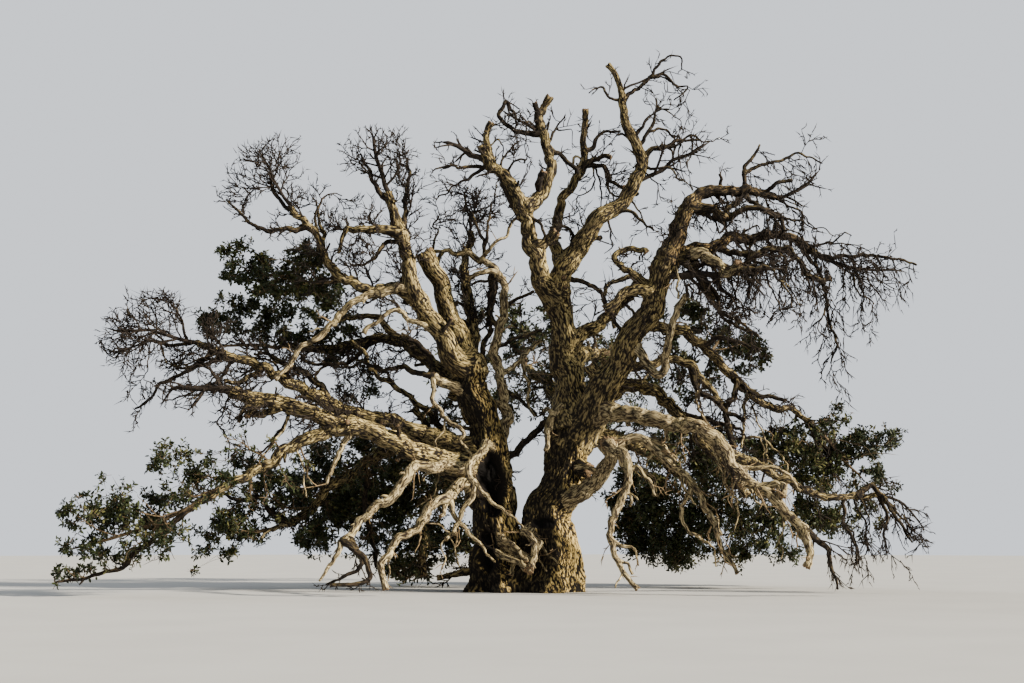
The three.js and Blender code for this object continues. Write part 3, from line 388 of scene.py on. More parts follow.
bareMassRows = """
northwest_twigs northwest_bough 100 -76,-13,116 17,15,15 -82,-14,128
far_west_twigs west_mid_bough 100 -111,-8,72 18,15,15 -126,-10,75
west_low_twigs west_low_bough 100 -92,-31,54 13,13,10 -101,-32,55
west_crown_twigs west_crown_bough 100 -45,-11,122 16,14,13 -49,-12,132
back_west_twigs back_west_bough 100 -20,26,114 14,14,12 -20,28,123
west_crest_twigs west_crest_bough 100 -23,-9,127 11,11,9 -30,-10,130
crown_twigs crown_bough 72 -6,-1,140 10,10,9 -13,-2,142
crest_twigs crest_bough 93 33,0,152 13,10,8.5 42,0,156
crest_east_twigs crest_bough 68 40,1,132 15,12,11 52,1,134
arch_twigs arch_bough 100 70,-15,118 16,13,10 80,-15,121
arch_end_twigs arch_low_bough 100 94,4,92 18,15,18 109,5,94
arch_under_twigs east_bough 93 51,-26,89 19,13,12 67,-30,88
far_east_twigs far_east_bough 100 99,-11,21 12,10,12 108,-11,18
"""

# Where leaves gather in each leafy mass, seen from the front: x and z of each cloud in decimetres,
# and its radius in centimetres.
leafCloudRows = """
far_west_leaves -101,37,48 -96,37,43 -90,36,38 -86,32,38 -99,30,38 -94,30,43 -97,27,48 -105,26,48
  -112,24,59 -120,23,59 -127,23,32 -122,26,27 -116,20,59 -123,20,38 -108,20,59 -103,20,59 -99,17,48
  -106,17,54 -121,15,30 -120,12,48 -117,10,32 -111,13,38 -129,6,27 -126,6,32 -121,7,35 -104,13,32
  -95,15,27 -127,12.5,30
west_low_leaves -89,38,43 -95,23,43 -99,19,37 -93,18,61 -101,15,49 -88,15,55 -103,10,31 -95,11,37
  -105,6,25 -89,31,37 -93,39,43 -83,34,61 -75,33,74 -88,28,43 -93,25,43 -90,21,55 -94,17,49 -80,26,49
  -82,22,37 -70,21,61 -69,17,49 -73,14,43
west_under_leaves -68,39,64 -68,43,29 -56,44,48 -51,41,70 -48,36,64 -54,33,70 -62,29,70 -64,25,64
  -59,22,57 -67,14,51 -46,25,64 -72,35,51 -76,27,45 -48,20,57
back_west_leaves -41,39,65 -41,30,58 -49,27,58 -38,17,78 -41,9,71 -44,4,52 -28,27,52 -25,14,65 -30,8,58
  -36,4,45 -32,34,52 -22,37,45 -45,14,52 -53,16,39
west_high_leaves -89,102,35 -83,99,35 -94,99,29 -91,97,41 -93,93,29 -86,96,47 -88,92,41 -82,93,53
  -83,88,41 -78,90,53 -77,87,47 -72,92,53 -70,99,35 -67,96,41 -73,98,23 -69,89,53 -65,90,41 -65,86,41
  -62,87,35 -75,94,35
west_shelf_leaves -99,89,24 -94,88,37 -89,87,43 -84,85,43 -91,85,31 -85,82,43 -78,85,31 -72,85,31
  -68,83,31 -103,83,37 -97,82,49 -93,80,37 -87,78,43 -79,78,43 -74,77,37 -68,78,31 -101,80,31 -62,80,43
  -60,84,37 -62,74,43 -64,71,31 -57,73,37 -58,78,37 -54,65,31 -59,60,37 -52,61,37
back_mid_leaves -7,88,38 -8,83,32 -4,83,38 0,81,32 -5,78,45 -8,76,38 -18,87,26 -16,72,32 7,77,45
  12,79,45 17,82,38 6,84,38 -10,92,29 2,88,32
east_high_leaves 48,84,36 45,84,42 49,79,30 54,77,36 53,73,48 58,73,42 65,75,30 64,72,42 67,69,30
  63,67,42 40,73,42 44,69,42 42,63,42 33,63,42 44,58,36 48,62,36 52,63,36 39,57,30 36,82,36 33,75,30
east_low_leaves 89,55,27 87,51,36 93,51,30 88,47,48 83,48,24 96,46,36 99,46,42 104,46,36 106,44,24
  101,42,42 95,43,48 91,43,48 72,48,42 77,48,42 69,45,48 75,43,54 80,41,54 86,41,54 73,38,60 78,37,60
  83,36,60 89,36,54 98,35,48 101,33,36 104,30,30 97,32,36 83,31,42 78,32,42 68,40,48 81,26,42 83,21,48
  87,22,42 88,19,36 96,26,36 97,22,30 100,19,24 98,15,24 79,25,42 77,27,42
east_inner_leaves 33,21,80 37,28,70 52,50,60 59,47,60 63,36,60 57,18,60 49,24,70 44,46,60 32,34,60
  68,45,45 69,40,38 65,29,51 69,23,64 65,19,64 73,21,58 71,13,64 65,11,58 77,15,58 81,17,51 79,11,45
  43,42,70 51,40,70 54,34,70 59,27,58 32,34,58 30,32,45 35,30,58 40,30,58 43,24,70 35,24,70 30,21,51
  32,14,64 40,14,77 45,11,58 48,17,64 56,24,51 61,21,58 39,44,45 30,45,32 24,27,45 27,18,45
"""
barkLetters = {"t": "trunkBark", "b": "boughBark", "a": "archBark", "d": "deadWood"}


def readRows(text):
    return [row.split() for row in text.strip().replace("\n  ", " ").split("\n")]


def readNumbers(text, parts=10):
    return tuple(float(number) / parts for number in text.split(","))


def readLimbs(text):
    made = []
    for name, carrier, share, radii, bark, *places in readRows(text):
        parent = parent if carrier == "-" else carrier
        source = readNumbers(share) if parent == "ground" else (parent, float(share) / 100)
        way = [readNumbers(place) for place in places]
        made.append((name, source, readNumbers(radii, 1000), barkLetters[bark], way))
    return made


def readCloud(text):
    x, z, radius = (float(number) for number in text.split(","))
    return x / 10, z / 10, radius / 100


def readMasses(text):
    return [(name, (limb, float(share) / 100), *map(readNumbers, places))
            for name, limb, share, *places in readRows(text)]


framedLimbs = readLimbs(framedLimbRows)
sideLimbs = readLimbs(sideLimbRows)
leafyMasses = readMasses(leafyMassRows)
bareMasses = readMasses(bareMassRows)
masses = leafyMasses + bareMasses
leafClouds = {name: [readCloud(cloud) for cloud in clouds]
              for name, *clouds in readRows(leafCloudRows)}


# The same seeded stream of numbers as the frame's source.
def seededStream(name):
    state = 7
    for letter in name:
        state = (state * 31 + ord(letter)) & 0xFFFFFFFF

    def draw():
        nonlocal state
        state = (state + 0x6D2B79F5) & 0xFFFFFFFF
        mixed = ((state ^ (state >> 15)) * (state | 1)) & 0xFFFFFFFF
        mixed ^= (mixed + (mixed ^ (mixed >> 7)) * (mixed | 61)) & 0xFFFFFFFF
        return (mixed ^ (mixed >> 14)) / 2**32

    return draw


def numberStream(name):
    return np.random.default_rng(sum((i + 1) * ord(letter) for i, letter in enumerate(name)))


def unit(vectors):
    return vectors / np.maximum(np.linalg.norm(vectors, axis=-1, keepdims=True), 1e-9)


def vary(pair, number):
    return pair[0] + pair[1] * number


def smoothStep(low, high, values):
    part = np.clip((values - low) / (high - low), 0, 1)
    return part * part * (3 - 2 * part)


# Smooth noise from about -1 to 1, one value for each point.
def softNoise(points, seed):
    base = np.floor(points).astype(np.int64)
    part = points - base
    ease = part**3 * (part * (part * 6 - 15) + 10)
    total = np.zeros(len(points))
    for corner in range(8):
        step = np.array([corner & 1, corner >> 1 & 1, corner >> 2 & 1])
        cell = base + step
        mixed = cell[:, 0] * 73856093 ^ cell[:, 1] * 19349663 ^ cell[:, 2] * 83492791
        mixed = (mixed + seed * 2654435761) & 0xFFFFFFFF
        mixed = ((mixed ^ (mixed >> 15)) * 0x2C1B3C6D) & 0xFFFFFFFF
        mixed = ((mixed ^ (mixed >> 12)) * 0x297A2D39) & 0xFFFFFFFF
        mixed ^= mixed >> 15
        slope = np.stack([mixed & 1023, mixed >> 10 & 1023, mixed >> 20 & 1023], 1) / 511.5 - 1
        weight = np.prod(np.where(step == 1, ease, 1 - ease), axis=1)
        total += weight * np.sum(slope * (part - step), axis=1)
    return total * 1.7


# The crookedness of all wood: one field moves limbs and twigs alike, so each stays on its parent.
# Each wave has its seed, its size and how far it moves the wood. All of it calms near the ground.
crooked = {"waves": [(11, 0.95, 0.13), (47, 0.3, 0.068), (83, 0.12, 0.021)], "calmBelow": 1.1}


def bendWood(points):
    flat = points.reshape(-1, 3)
    shift = np.zeros_like(flat)
    for seed, size, reach in crooked["waves"]:
        for axis in range(3):
            shift[:, axis] += reach * softNoise(flat / size, seed + axis)
    shift *= np.clip(flat[:, 2:] / crooked["calmBelow"], 0, 1)
    return (flat + shift).reshape(points.shape)


def curvePoints(knots, t):
    spans = len(knots) - 1
    place = np.clip(t, 0, 1) * spans
    span = np.minimum(place.astype(int), spans - 1)
    w = (place - span)[:, None]
    padded = np.vstack([2 * knots[0] - knots[1], knots, 2 * knots[-1] - knots[-2]])
    a, b, c, d = (padded[span + i] for i in range(4))
    leaving = 0.5 * (c - a)
    arriving = 0.5 * (d - b)
    bend = -3 * b + 3 * c - 2 * leaving - arriving
    return b + leaving * w + bend * w**2 + (2 * b - 2 * c + leaving + arriving) * w**3


def evenTable(knots):
    t = np.linspace(0, 1, 201)
    steps = np.linalg.norm(np.diff(curvePoints(knots, t), axis=0), axis=1)
    return t, np.concatenate([[0], np.cumsum(steps)])


def alongCurve(knots, table, shares):
    t, lengths = table
    return curvePoints(knots, np.interp(np.asarray(shares, float) * lengths[-1], lengths, t))


# The rule by which the frame's source throws knees off a limb's smooth line, and its flare.
limbRule = {"kneeEvery": 0.8, "kneeBase": 0.05, "kneePerRadius": 0.25, "collar": 0.3,
            "collarLength": 1.6, "flare": 0.55, "flareHeight": 0.75, "lobes": 5,
            "lobeTurn": 1000, "lobeDepth": 0.28, "fluteDepth": 0.05}


def layOutLimb(row, limbs, framed=True):
    name, source, radius, bark, way = row
    standing = len(source) == 3
    parent = None if standing else limbs[source[0]]
    start = np.array(source, float) if standing else limbPoints(parent, [source[1]])[0]
    knots = np.vstack([start, np.array(way, float)])
    if framed:
        table = evenTable(knots)
        spans = max(2, round(table[1][-1] / limbRule["kneeEvery"]))
        knots = alongCurve(knots, table, np.linspace(0, 1, spans + 1))
        draw = seededStream(name)
        knee = limbRule["kneeBase"] + limbRule["kneePerRadius"] * radius[1]
        for i in range(1, spans):
            knots[i] += knee * 2 * np.array([draw() - 0.5, draw() - 0.5, draw() - 0.5])
    table = evenTable(knots)
    return {"name": name, "standing": standing, "parent": parent, "knots": knots, "table": table,
            "length": table[1][-1], "radius": radius, "bark": bark, "start": start,
            "share": None if standing else source[1], "framed": framed}


def limbPoints(limb, shares):
    return alongCurve(limb["knots"], limb["table"], shares)


def limbRadius(limb, shares, angles):
    first, last = limb["radius"]
    plain = first + (last - first) * shares
    along = shares * limb["length"]
    if limb["standing"]:
        low = np.exp(-along / limbRule["flareHeight"])
        lobe = np.cos(limbRule["lobes"] * angles + limbRule["lobeTurn"] * first)
        swell = low * (limbRule["flare"] + limbRule["lobeDepth"] * lobe)
        return plain * (1 + swell + limbRule["fluteDepth"] * lobe)
    return plain * (1 + limbRule["collar"] * np.exp(-along / (limbRule["collarLength"] * first)))


limbs = {}
for row in framedLimbs:
    limbs[row[0]] = layOutLimb(row, limbs)
for row in sideLimbs:
    limbs[row[0]] = layOutLimb(row, limbs, framed=False)
print("limbs laid out:", len(limbs))

# Rotten hollows in the wood's face: the place, the half sizes and how deep. None is deeper than
# deepestHollow times the limb's radius there.
hollows = [((-1.4, -0.45, 3.08), (0.46, 0.9, 0.98), 0.45),
           ((-1.55, -0.5, 1.2), (0.3, 0.6, 0.7), 0.3),
           ((0.05, -0.75, 1.95), (0.4, 0.4, 0.16), 0.12)]
hollowRim = (0.75, 1.1)
deepestHollow = 0.7


def insideHollow(points, place, half):
    return np.linalg.norm((points - np.array(place)) / np.array(half), axis=-1)


# Short broken stubs along the limbs, where branches have come away.
stubRule = {"perMetre": 0.75, "first": 0.15, "span": 0.8, "length": (0.12, 0.5),
            "radius": (0.028, 0.075), "share": 0.3, "taper": 0.75, "spread": 0.95,
            "spreadVary": (0.8, 0.4), "bend": 0.25, "bendAt": 0.55, "thinnestLimb": 0.09,
            "clearOfHollow": 1.6}


def sideways(headings, angles):
    steep = np.abs(headings[..., 2:]) >= 0.9
    level = np.where(steep, np.array([1.0, 0, 0]), np.array([0, 0, 1.0]))
    across = unit(np.cross(headings, level))
    upright = unit(np.cross(across, headings))
    return across * np.cos(angles)[..., None] + upright * np.sin(angles)[..., None]


def stubsOf(limb):
    random = numberStream(limb["name"] + " stubs")
    made = []
    count = int(limb["length"] * stubRule["perMetre"])
    if limb["radius"][0] < stubRule["thinnestLimb"] or limb["name"] == "trunk":
        return made
    for i in range(count):
        share = stubRule["first"] + stubRule["span"] * (i + random.random()) / count
        here, ahead = limbPoints(limb, [share, min(1, share + 0.02)])
        depth = min(insideHollow(here, place, half) for place, half, _ in hollows)
        if depth < stubRule["clearOfHollow"]:
            continue
        heading = unit(ahead - here)
        side = sideways(heading, np.array(random.random() * 2 * math.pi))
        spread = stubRule["spread"] * vary(stubRule["spreadVary"], random.random())
        heading = unit(heading * math.cos(spread) + side * math.sin(spread))
        around = float(limbRadius(limb, share, 0.0))
        radius = float(np.clip(around * stubRule["share"], *stubRule["radius"]))
        low, high = stubRule["length"]
        reach = around + low + (high - low) * random.random() ** 2
        bend = (random.random(3) - 0.5) * stubRule["bend"] * reach
        way = [tuple(here + heading * reach * stubRule["bendAt"] + bend),
               tuple(here + heading * reach)]
        row = (f"{limb['name']} stub {i}", (limb["name"], share),
               (radius, radius * stubRule["taper"]), limb["bark"], way)
        made.append(layOutLimb(row, limbs, framed=False))
    return made


stubs = {name: stubsOf(limb) for name, limb in limbs.items()}
for group in stubs.values():
    for stub in group:
        limbs[stub["name"]] = stub
print("stubs:", sum(len(group) for group in stubs.values()))

# Bark as a mesh: long plates between furrows, lumps and fluting, on a fine sweep of each limb.
relief = {"ringStep": 0.06, "sectorStep": 0.022, "sectorPerRadius": 0.018, "sectors": (6, 240),
          "flareSectors": 1.35, "straightenAbove": 0.3, "cell": 0.052, "cellPerRadius": 0.045,
          "stretch": 4.4, "warp": (0.8, 0.8, 0.35), "depth": 0.011, "depthPerRadius": 0.032,
          "deepest": 0.22, "thickest": 0.5, "lift": 0.35, "lump": 0.13, "lumpSize": (0.35, 0.6),
          "smallLump": 0.06, "smallLumpSize": (0.12, 0.2), "warpSize": 2.2, "minorCells": 2.1,
          "mainEdge": (0.03, 0.29), "minorEdge": (0.02, 0.24), "minorShare": 0.7,
          "spiral": 0.12, "deadSpiral": 0.35, "lowest": 0.02, "seedSpan": 60,
          "endFurrow": 0.3}
# How deep the furrows of each bark are, and how much of it they take.
barkForms = {"trunkBark": {"depth": 1.4, "furrows": 1.15},
             "boughBark": {"depth": 1.2, "furrows": 0.95},
             "archBark": {"depth": 1.2, "furrows": 0.95},
             "thinBark": {"depth": 1.0, "furrows": 0.9},
             "deadWood": {"depth": 0.7, "furrows": 0.8}}
# Boughs below this radius have thin bark, and a bough darkens between these radii.
thinBelow = 0.11
outerRadii = (0.09, 0.24)
# The filled crease where two limbs meet, and the torn end of a limb that nothing carries on.
creases = {"fillet": 0.9, "reach": 1.6, "beadReach": 0.6, "siblings": 0.9, "siblingRadius": 0.12,
           "fill": 0.3}
tornEnd = {"radius": 0.045, "splinter": 0.6, "jags": 3, "jagHeight": 0.5, "knob": 0.25,
           "knobLength": 1.5, "centre": 0.35, "roundCentre": 0.5}


# Rings of a thick limb follow its smoothed line, so that none cuts into the next.
def smoothLine(axis, spread):
    reach = int(3 * spread) + 1
    places = np.arange(-reach, len(axis) + reach)
    inside = np.clip(places, 0, len(axis) - 1)
    run = min(reach, len(axis) - 1)
    ends = np.where((places < 0)[:, None], axis[run] - axis[0], axis[-1] - axis[-1 - run]) / run
    padded = axis[inside] + (places - inside)[:, None] * ends
    weights = np.exp(-0.5 * (np.arange(-reach, reach + 1) / spread) ** 2)
    weights /= weights.sum()
    return np.stack([np.convolve(padded[:, i], weights, "valid") for i in range(3)], 1)


def framesAlong(axis, spread):
    tangents = unit(np.gradient(smoothLine(axis, spread), axis=0))
    guide = np.eye(3)[np.argmin(np.abs(tangents[0]))]
    across = unit(np.cross(tangents[0], guide))
    normals = [np.cross(tangents[0], across)]
    for tangent in tangents[1:]:
        kept = normals[-1] - tangent * np.dot(normals[-1], tangent)
        normals.append(kept / np.linalg.norm(kept))
    normals = np.array(normals)
    return tangents, normals, np.cross(tangents, normals)


# Limbs that meet, with the joint's place and how wide its crease is filled.
def jointsOf(limbs):
    joints = {name: [] for name in limbs}
    children = {name: [] for name in limbs}

    def meet(one, other, place, width):
        joints[one["name"]].append((other, place, width))
        joints[other["name"]].append((one, place, width))

    for limb in limbs.values():
        parent = limb["parent"]
        if parent is None:
            continue
        meet(limb, parent, limb["start"], creases["fillet"] * limb["radius"][0])
        for other in children[parent["name"]]:
            apart = np.linalg.norm(other["start"] - limb["start"])
            thinner = min(other["radius"][0], limb["radius"][0])
            if apart < creases["siblings"] and thinner > creases["siblingRadius"]:
                meet(limb, other, limb["start"], creases["fillet"] * thinner)
        children[parent["name"]].append(limb)
    return joints


def beadsOf(limb, spacing=0.05):
    if "beads" not in limb:
        shares = np.linspace(0, 1, max(3, int(limb["length"] / spacing)))
        limb["beads"] = bendWood(limbPoints(limb, shares)), limbRadius(limb, shares, 0.0)
    return limb["beads"]


def fillCreases(points, limb, joints):
    push = np.zeros(len(points))
    reach = creases["reach"]
    for other, place, width in joints[limb["name"]]:
        near = np.flatnonzero(np.linalg.norm(points - place, axis=1) < reach)
        centres, radii = beadsOf(other)
        close = np.linalg.norm(centres - place, axis=1) < reach + creases["beadReach"]
        if not len(near) or not close.any():
            continue
        apart = np.linalg.norm(points[near, None] - centres[None, close], axis=2) - radii[close]
        height = np.maximum(width - np.abs(apart.min(axis=1)), 0) / width
        push[near] = np.maximum(push[near], creases["fill"] * width * height**2)
    return push


# The fine sweep of a limb: its line and frames, and each point's way out, radius and place along.
def sweepLimb(limb, torn):
    first, last = limb["radius"]
    thick = max(first, last)
    rings = max(4, round(limb["length"] / relief["ringStep"]))
    sectorStep = relief["sectorStep"] + relief["sectorPerRadius"] * thick
    around = thick * (relief["flareSectors"] if limb["standing"] else 1)
    sectors = int(np.clip(2 * math.pi * around / sectorStep, *relief["sectors"]))
    shares = np.linspace(0, 1, rings + 1)
    axis = bendWood(limbPoints(limb, shares))
    calm = max(0.5, 0.7 * (first + last) / 2 / (limb["length"] / rings))
    if thick > relief["straightenAbove"]:
        axis = smoothLine(axis, 0.5 * calm)
    tangents, normals, binormals = framesAlong(axis, calm)
    angles = np.arange(sectors) * 2 * math.pi / sectors
    out = normals[:, None] * np.cos(angles)[:, None] - binormals[:, None] * np.sin(angles)[:, None]
    radius = limbRadius(limb, shares[:, None], angles[None])
    if torn:
        fromTip = (1 - shares[:, None]) * limb["length"] / (tornEnd["knobLength"] * last)
        radius = radius * (1 + tornEnd["knob"] * np.exp(-fromTip**2))
    return {"axis": axis, "tip": tangents[-1], "angles": angles, "out": out.reshape(-1, 3),
            "radius": np.broadcast_to(radius, (rings + 1, sectors)).ravel(),
            "along": np.repeat(shares * limb["length"], sectors),
            "centre": np.repeat(axis, sectors, axis=0)}


# The bark's own space, round the limb and along it, and the lumps and furrows in that space.
def barkPattern(limb, sweep, seed):
    first = limb["radius"][0]
    radius, along = sweep["radius"], sweep["along"]
    twist = relief["deadSpiral"] if limb["bark"] == "deadWood" else relief["spiral"]
    spiral = np.tile(sweep["angles"], len(sweep["axis"])) + along * twist
    grain = np.stack([radius * np.cos(spiral), radius * np.sin(spiral), along], 1) + seed
    lumps = relief["lump"] * softNoise(grain / vary(relief["lumpSize"], first), 3)
    lumps += relief["smallLump"] * softNoise(grain / vary(relief["smallLumpSize"], first), 4)
    cell = relief["cell"] + relief["cellPerRadius"] * first
    plates = grain / np.array([cell, cell, cell * relief["stretch"]])
    warp = softNoise(grain / (cell * relief["warpSize"]), 5)[:, None] * np.array(relief["warp"])
    main = np.abs(softNoise(plates + warp, 6))
    minor = np.abs(softNoise(plates * relief["minorCells"] + warp, 7))
    furrow = 1 - smoothStep(*relief["mainEdge"], main)
    small = relief["minorShare"] * (1 - smoothStep(*relief["minorEdge"], minor))
    return grain, lumps, np.maximum(furrow, small)


def limbShell(limb, joints, carriedOn):
    first, last = limb["radius"]
    torn = last > tornEnd["radius"] and limb["name"] not in carriedOn
    sweep = sweepLimb(limb, torn)
    seed = numberStream(limb["name"]).random(3) * relief["seedSpan"]
    grain, lumps, furrow = barkPattern(limb, sweep, seed)
    radius, out, angles = sweep["radius"], sweep["out"], sweep["angles"]
    bark = limb["bark"]
    if bark in ("boughBark", "archBark") and first < thinBelow:
        bark = "thinBark"
    # A bough is darker towards its thin end. Dead wood is pale to the tip.
    outer = (1 - smoothStep(*outerRadii, radius)) * (limb["bark"] != "deadWood")
    furrow *= barkForms[bark]["furrows"]
    girth = np.minimum(radius, relief["thickest"])
    depth = (relief["depth"] + relief["depthPerRadius"] * girth) * barkForms[bark]["depth"]
    depth = np.minimum(depth, relief["deepest"] * girth)
    surface = sweep["centre"] + out * radius[:, None]
    rise = radius * lumps - depth * furrow + relief["lift"] * depth
    rise += fillCreases(surface, limb, joints)
    for place, half, deep in hollows:
        dent = 1 - smoothStep(*hollowRim, insideHollow(surface, place, half))
        rise -= np.minimum(deep, deepestHollow * radius) * dent
        # Inside a hollow the furrow mark rises to 2, so the hollow is painted dark as shade in the
        # recess.
        furrow = np.maximum(furrow, 2 * dent)
    points = surface + out * rise[:, None]
    sectors = len(angles)
    base = len(points)
    cells = np.arange(base).reshape(-1, sectors)
    ahead = np.roll(cells, -1, axis=1)
    quads = np.stack([cells[:-1], ahead[:-1], ahead[1:], cells[1:]], 2).reshape(-1, 4)
    bottom = np.stack([np.full(sectors, base), ahead[0], cells[0]], 1)
    top = np.stack([np.full(sectors, base + 1), cells[-1], ahead[-1]], 1)
    if torn:
        jags = tornEnd["jags"]
        circle = np.stack([jags * np.cos(angles), jags * np.sin(angles),
                           np.full(sectors, seed[0])], 1)
        jag = tornEnd["jagHeight"] + softNoise(circle, 9)
        points[-sectors:] += sweep["tip"] * (tornEnd["splinter"] * last * jag)[:, None]
    bulge = last * tornEnd["centre" if torn else "roundCentre"]
    centres = np.array([sweep["axis"][0], sweep["axis"][-1] + sweep["tip"] * bulge])
    points = np.vstack([points, centres])
    points[:, 2] = np.maximum(points[:, 2], 0 if limb["standing"] else relief["lowest"])
    if limb["standing"]:
        points[:sectors, 2] = 0
        points[base, 2] = 0
    kinds = [bark] * (len(quads) + sectors) + ["brokenWood" if torn else bark] * sectors
    return {"points": points, "faces": [quads, bottom, top], "kinds": kinds,
            "grain": np.vstack([grain, centres + seed]),
            "furrow": np.append(furrow, [relief["endFurrow"]] * 2),
            "outer": np.append(outer, [outer[0], outer[-1]])}


# Materials. The groups work out colours, masks and heights that more than one material uses.
def tone(red, green, blue):
    linear = [((c / 255 + 0.055) / 1.055) ** 2.4 if c > 10 else c / 3295 for c in (red, green, blue)]
    return (*linear, 1)


def startGroup(name, inputs, outputs):
    group = bpy.data.node_groups.new(name, "ShaderNodeTree")
    for side, sockets in (("INPUT", inputs), ("OUTPUT", outputs)):
        for label, kind in sockets.items():
            group.interface.new_socket(label, in_out=side, socket_type="NodeSocket" + kind)
    given = group.nodes.new("NodeGroupInput").outputs
    result = group.nodes.new("NodeGroupOutput").inputs
    return group, given, result


def feed(tree, socket, value):
    if isinstance(value, bpy.types.NodeSocket):
        tree.links.new(value, socket)
    else:
        socket.default_value = value


def addNode(tree, kind, settings=None, **values):
    node = tree.nodes.new(kind)
    for key, value in (settings or {}).items():
        setattr(node, key, value)
    for key, value in values.items():
        feed(tree, node.inputs[key], value)
    return node


def scaledNoise(tree, vector, scale, detail=3, roughness=0.6):
    node = addNode(tree, "ShaderNodeTexNoise", Vector=vector, Scale=scale, Detail=detail,
                   Roughness=roughness)
    return node.outputs["Fac"]


def remap(tree, value, low, high, newLow=0.0, newHigh=1.0):
    node = addNode(tree, "ShaderNodeMapRange", {"interpolation_type": "SMOOTHSTEP"}, Value=value)
    for key, number in (("From Min", low), ("From Max", high), ("To Min", newLow),
                        ("To Max", newHigh)):
        feed(tree, node.inputs[key], number)
    return node.outputs["Result"]


def blendColors(tree, factor, first, second, how="MIX"):
    node = addNode(tree, "ShaderNodeMix", {"data_type": "RGBA", "blend_type": how})
    for index, value in ((0, factor), (6, first), (7, second)):
        feed(tree, node.inputs[index], value)
    return node.outputs[2]


def calculate(tree, how, first, second):
    node = addNode(tree, "ShaderNodeMath", {"operation": how})
    feed(tree, node.inputs[0], first)
    feed(tree, node.inputs[1], second)
    return node.outputs[0]


def times(tree, first, second):
    return calculate(tree, "MULTIPLY", first, second)


# How bark is coloured: the grain's stretch, the noises' sizes, and where each mask starts and ends.
# Painted shade on bark is turned by sunnySide: the turned and high masks in barkPaint paint bark darker
# facing away from it and high up.
sunnySide = (0.88, -0.1, 0.46)
barkPaint = {"stretch": 0.22, "fibres": 34, "cracks": 13, "crackWidth": 0.055, "patches": 2.2,
             "patchEdge": (0.36, 0.66), "turnedEdge": (0.4, 0.92), "turnedPatches": 0.7,
             "highEdge": (11.5, 15.0), "highShade": 0.8, "highPatches": 4, "outerShade": 0.75,
             "fibreEdge": (0.3, 0.72), "fibreTones": (0.62, 1.25), "darkEdge": (0.28, 0.92),
             "darkFibres": 0.3, "hollowEdge": (1.1, 1.9), "hollowShadeTone": 0.25}
lichenPaint = {"color": tone(166, 150, 92), "upperSide": 0.12, "wide": 0.9, "small": 11,
               "wideShare": 0.65, "smallShare": 0.35, "edge": (0.48, 0.66)}


def makeBarkGroup():
    group, given, result = startGroup(
        "barkPlates",
        {"Grain": "Vector", "Furrow": "Float", "Outer": "Float", "Plate Color": "Color",
         "Second Color": "Color", "Furrow Color": "Color", "Shade Color": "Color",
         "Shade Side": "Float", "Crack Amount": "Float"},
        {"Color": "Color", "Open": "Float", "Height": "Float"})
    stretch = addNode(group, "ShaderNodeMapping", Vector=given["Grain"],
                      Scale=(1, 1, barkPaint["stretch"]))
    fibres = scaledNoise(group, stretch.outputs[0], barkPaint["fibres"], 4, 0.65)
    cracks = scaledNoise(group, stretch.outputs[0], barkPaint["cracks"], 3, 0.55)
    crackLine = calculate(group, "ABSOLUTE", calculate(group, "SUBTRACT", cracks, 0.5), 0.0)
    crackMask = remap(group, crackLine, 0.0, barkPaint["crackWidth"], 1.0, 0.0)
    crackMask = times(group, crackMask, given["Crack Amount"])
    patches = scaledNoise(group, given["Grain"], barkPaint["patches"], 4, 0.65)
    plate = blendColors(group, remap(group, patches, *barkPaint["patchEdge"]),
                        given["Plate Color"], given["Second Color"])
    # Painted shade: bark that faces away from sunnySide, and bark high in the crown, is blended toward
    # the darker, greyer shade colour, as if the sun missed it. The thin ends of boughs are blended
    # toward the same colour.
    geometry = addNode(group, "ShaderNodeNewGeometry").outputs
    facing = addNode(group, "ShaderNodeVectorMath", {"operation": "DOT_PRODUCT"})
    feed(group, facing.inputs[0], geometry["Normal"])
    feed(group, facing.inputs[1], sunnySide)
    turned = calculate(group, "ADD", facing.outputs["Value"],
                       times(group, patches, barkPaint["turnedPatches"]))
    place = addNode(group, "ShaderNodeSeparateXYZ", Vector=geometry["Position"])
    height = calculate(group, "ADD", place.outputs["Z"],
                       times(group, patches, barkPaint["highPatches"]))
    shaded = calculate(group, "MAXIMUM", remap(group, turned, *barkPaint["turnedEdge"], 1.0, 0.0),
                       remap(group, height, *barkPaint["highEdge"], 0.0, barkPaint["highShade"]))
    shaded = calculate(group, "MAXIMUM", shaded,
                       times(group, given["Outer"], barkPaint["outerShade"]))
    shaded = times(group, shaded, given["Shade Side"])
    plate = blendColors(group, shaded, plate, given["Shade Color"])
    shade = remap(group, fibres, *barkPaint["fibreEdge"], *barkPaint["fibreTones"])
    plate = blendColors(group, 1.0, plate, shade, "MULTIPLY")
    # Furrows and cracks take the furrow colour: partly the darker bark in the clefts, partly painted
    # shade, near black.
    dark = calculate(group, "MAXIMUM", given["Furrow"], crackMask)
    dark = calculate(group, "ADD", dark, times(group, fibres, barkPaint["darkFibres"]))
    dark = remap(group, dark, *barkPaint["darkEdge"])
    color = blendColors(group, dark, plate, given["Furrow Color"])
    # A furrow above 1 is the inside of a hollow, painted darker still as shade in the recess.
    inside = remap(group, given["Furrow"], *barkPaint["hollowEdge"], 1.0, barkPaint["hollowShadeTone"])
    color = blendColors(group, 1.0, color, inside, "MULTIPLY")
    raised = calculate(group, "SUBTRACT", times(group, fibres, 0.5), dark)
    feed(group, result["Color"], color)
    feed(group, result["Open"], calculate(group, "SUBTRACT", 1.0, dark))
    feed(group, result["Height"], raised)
    return group


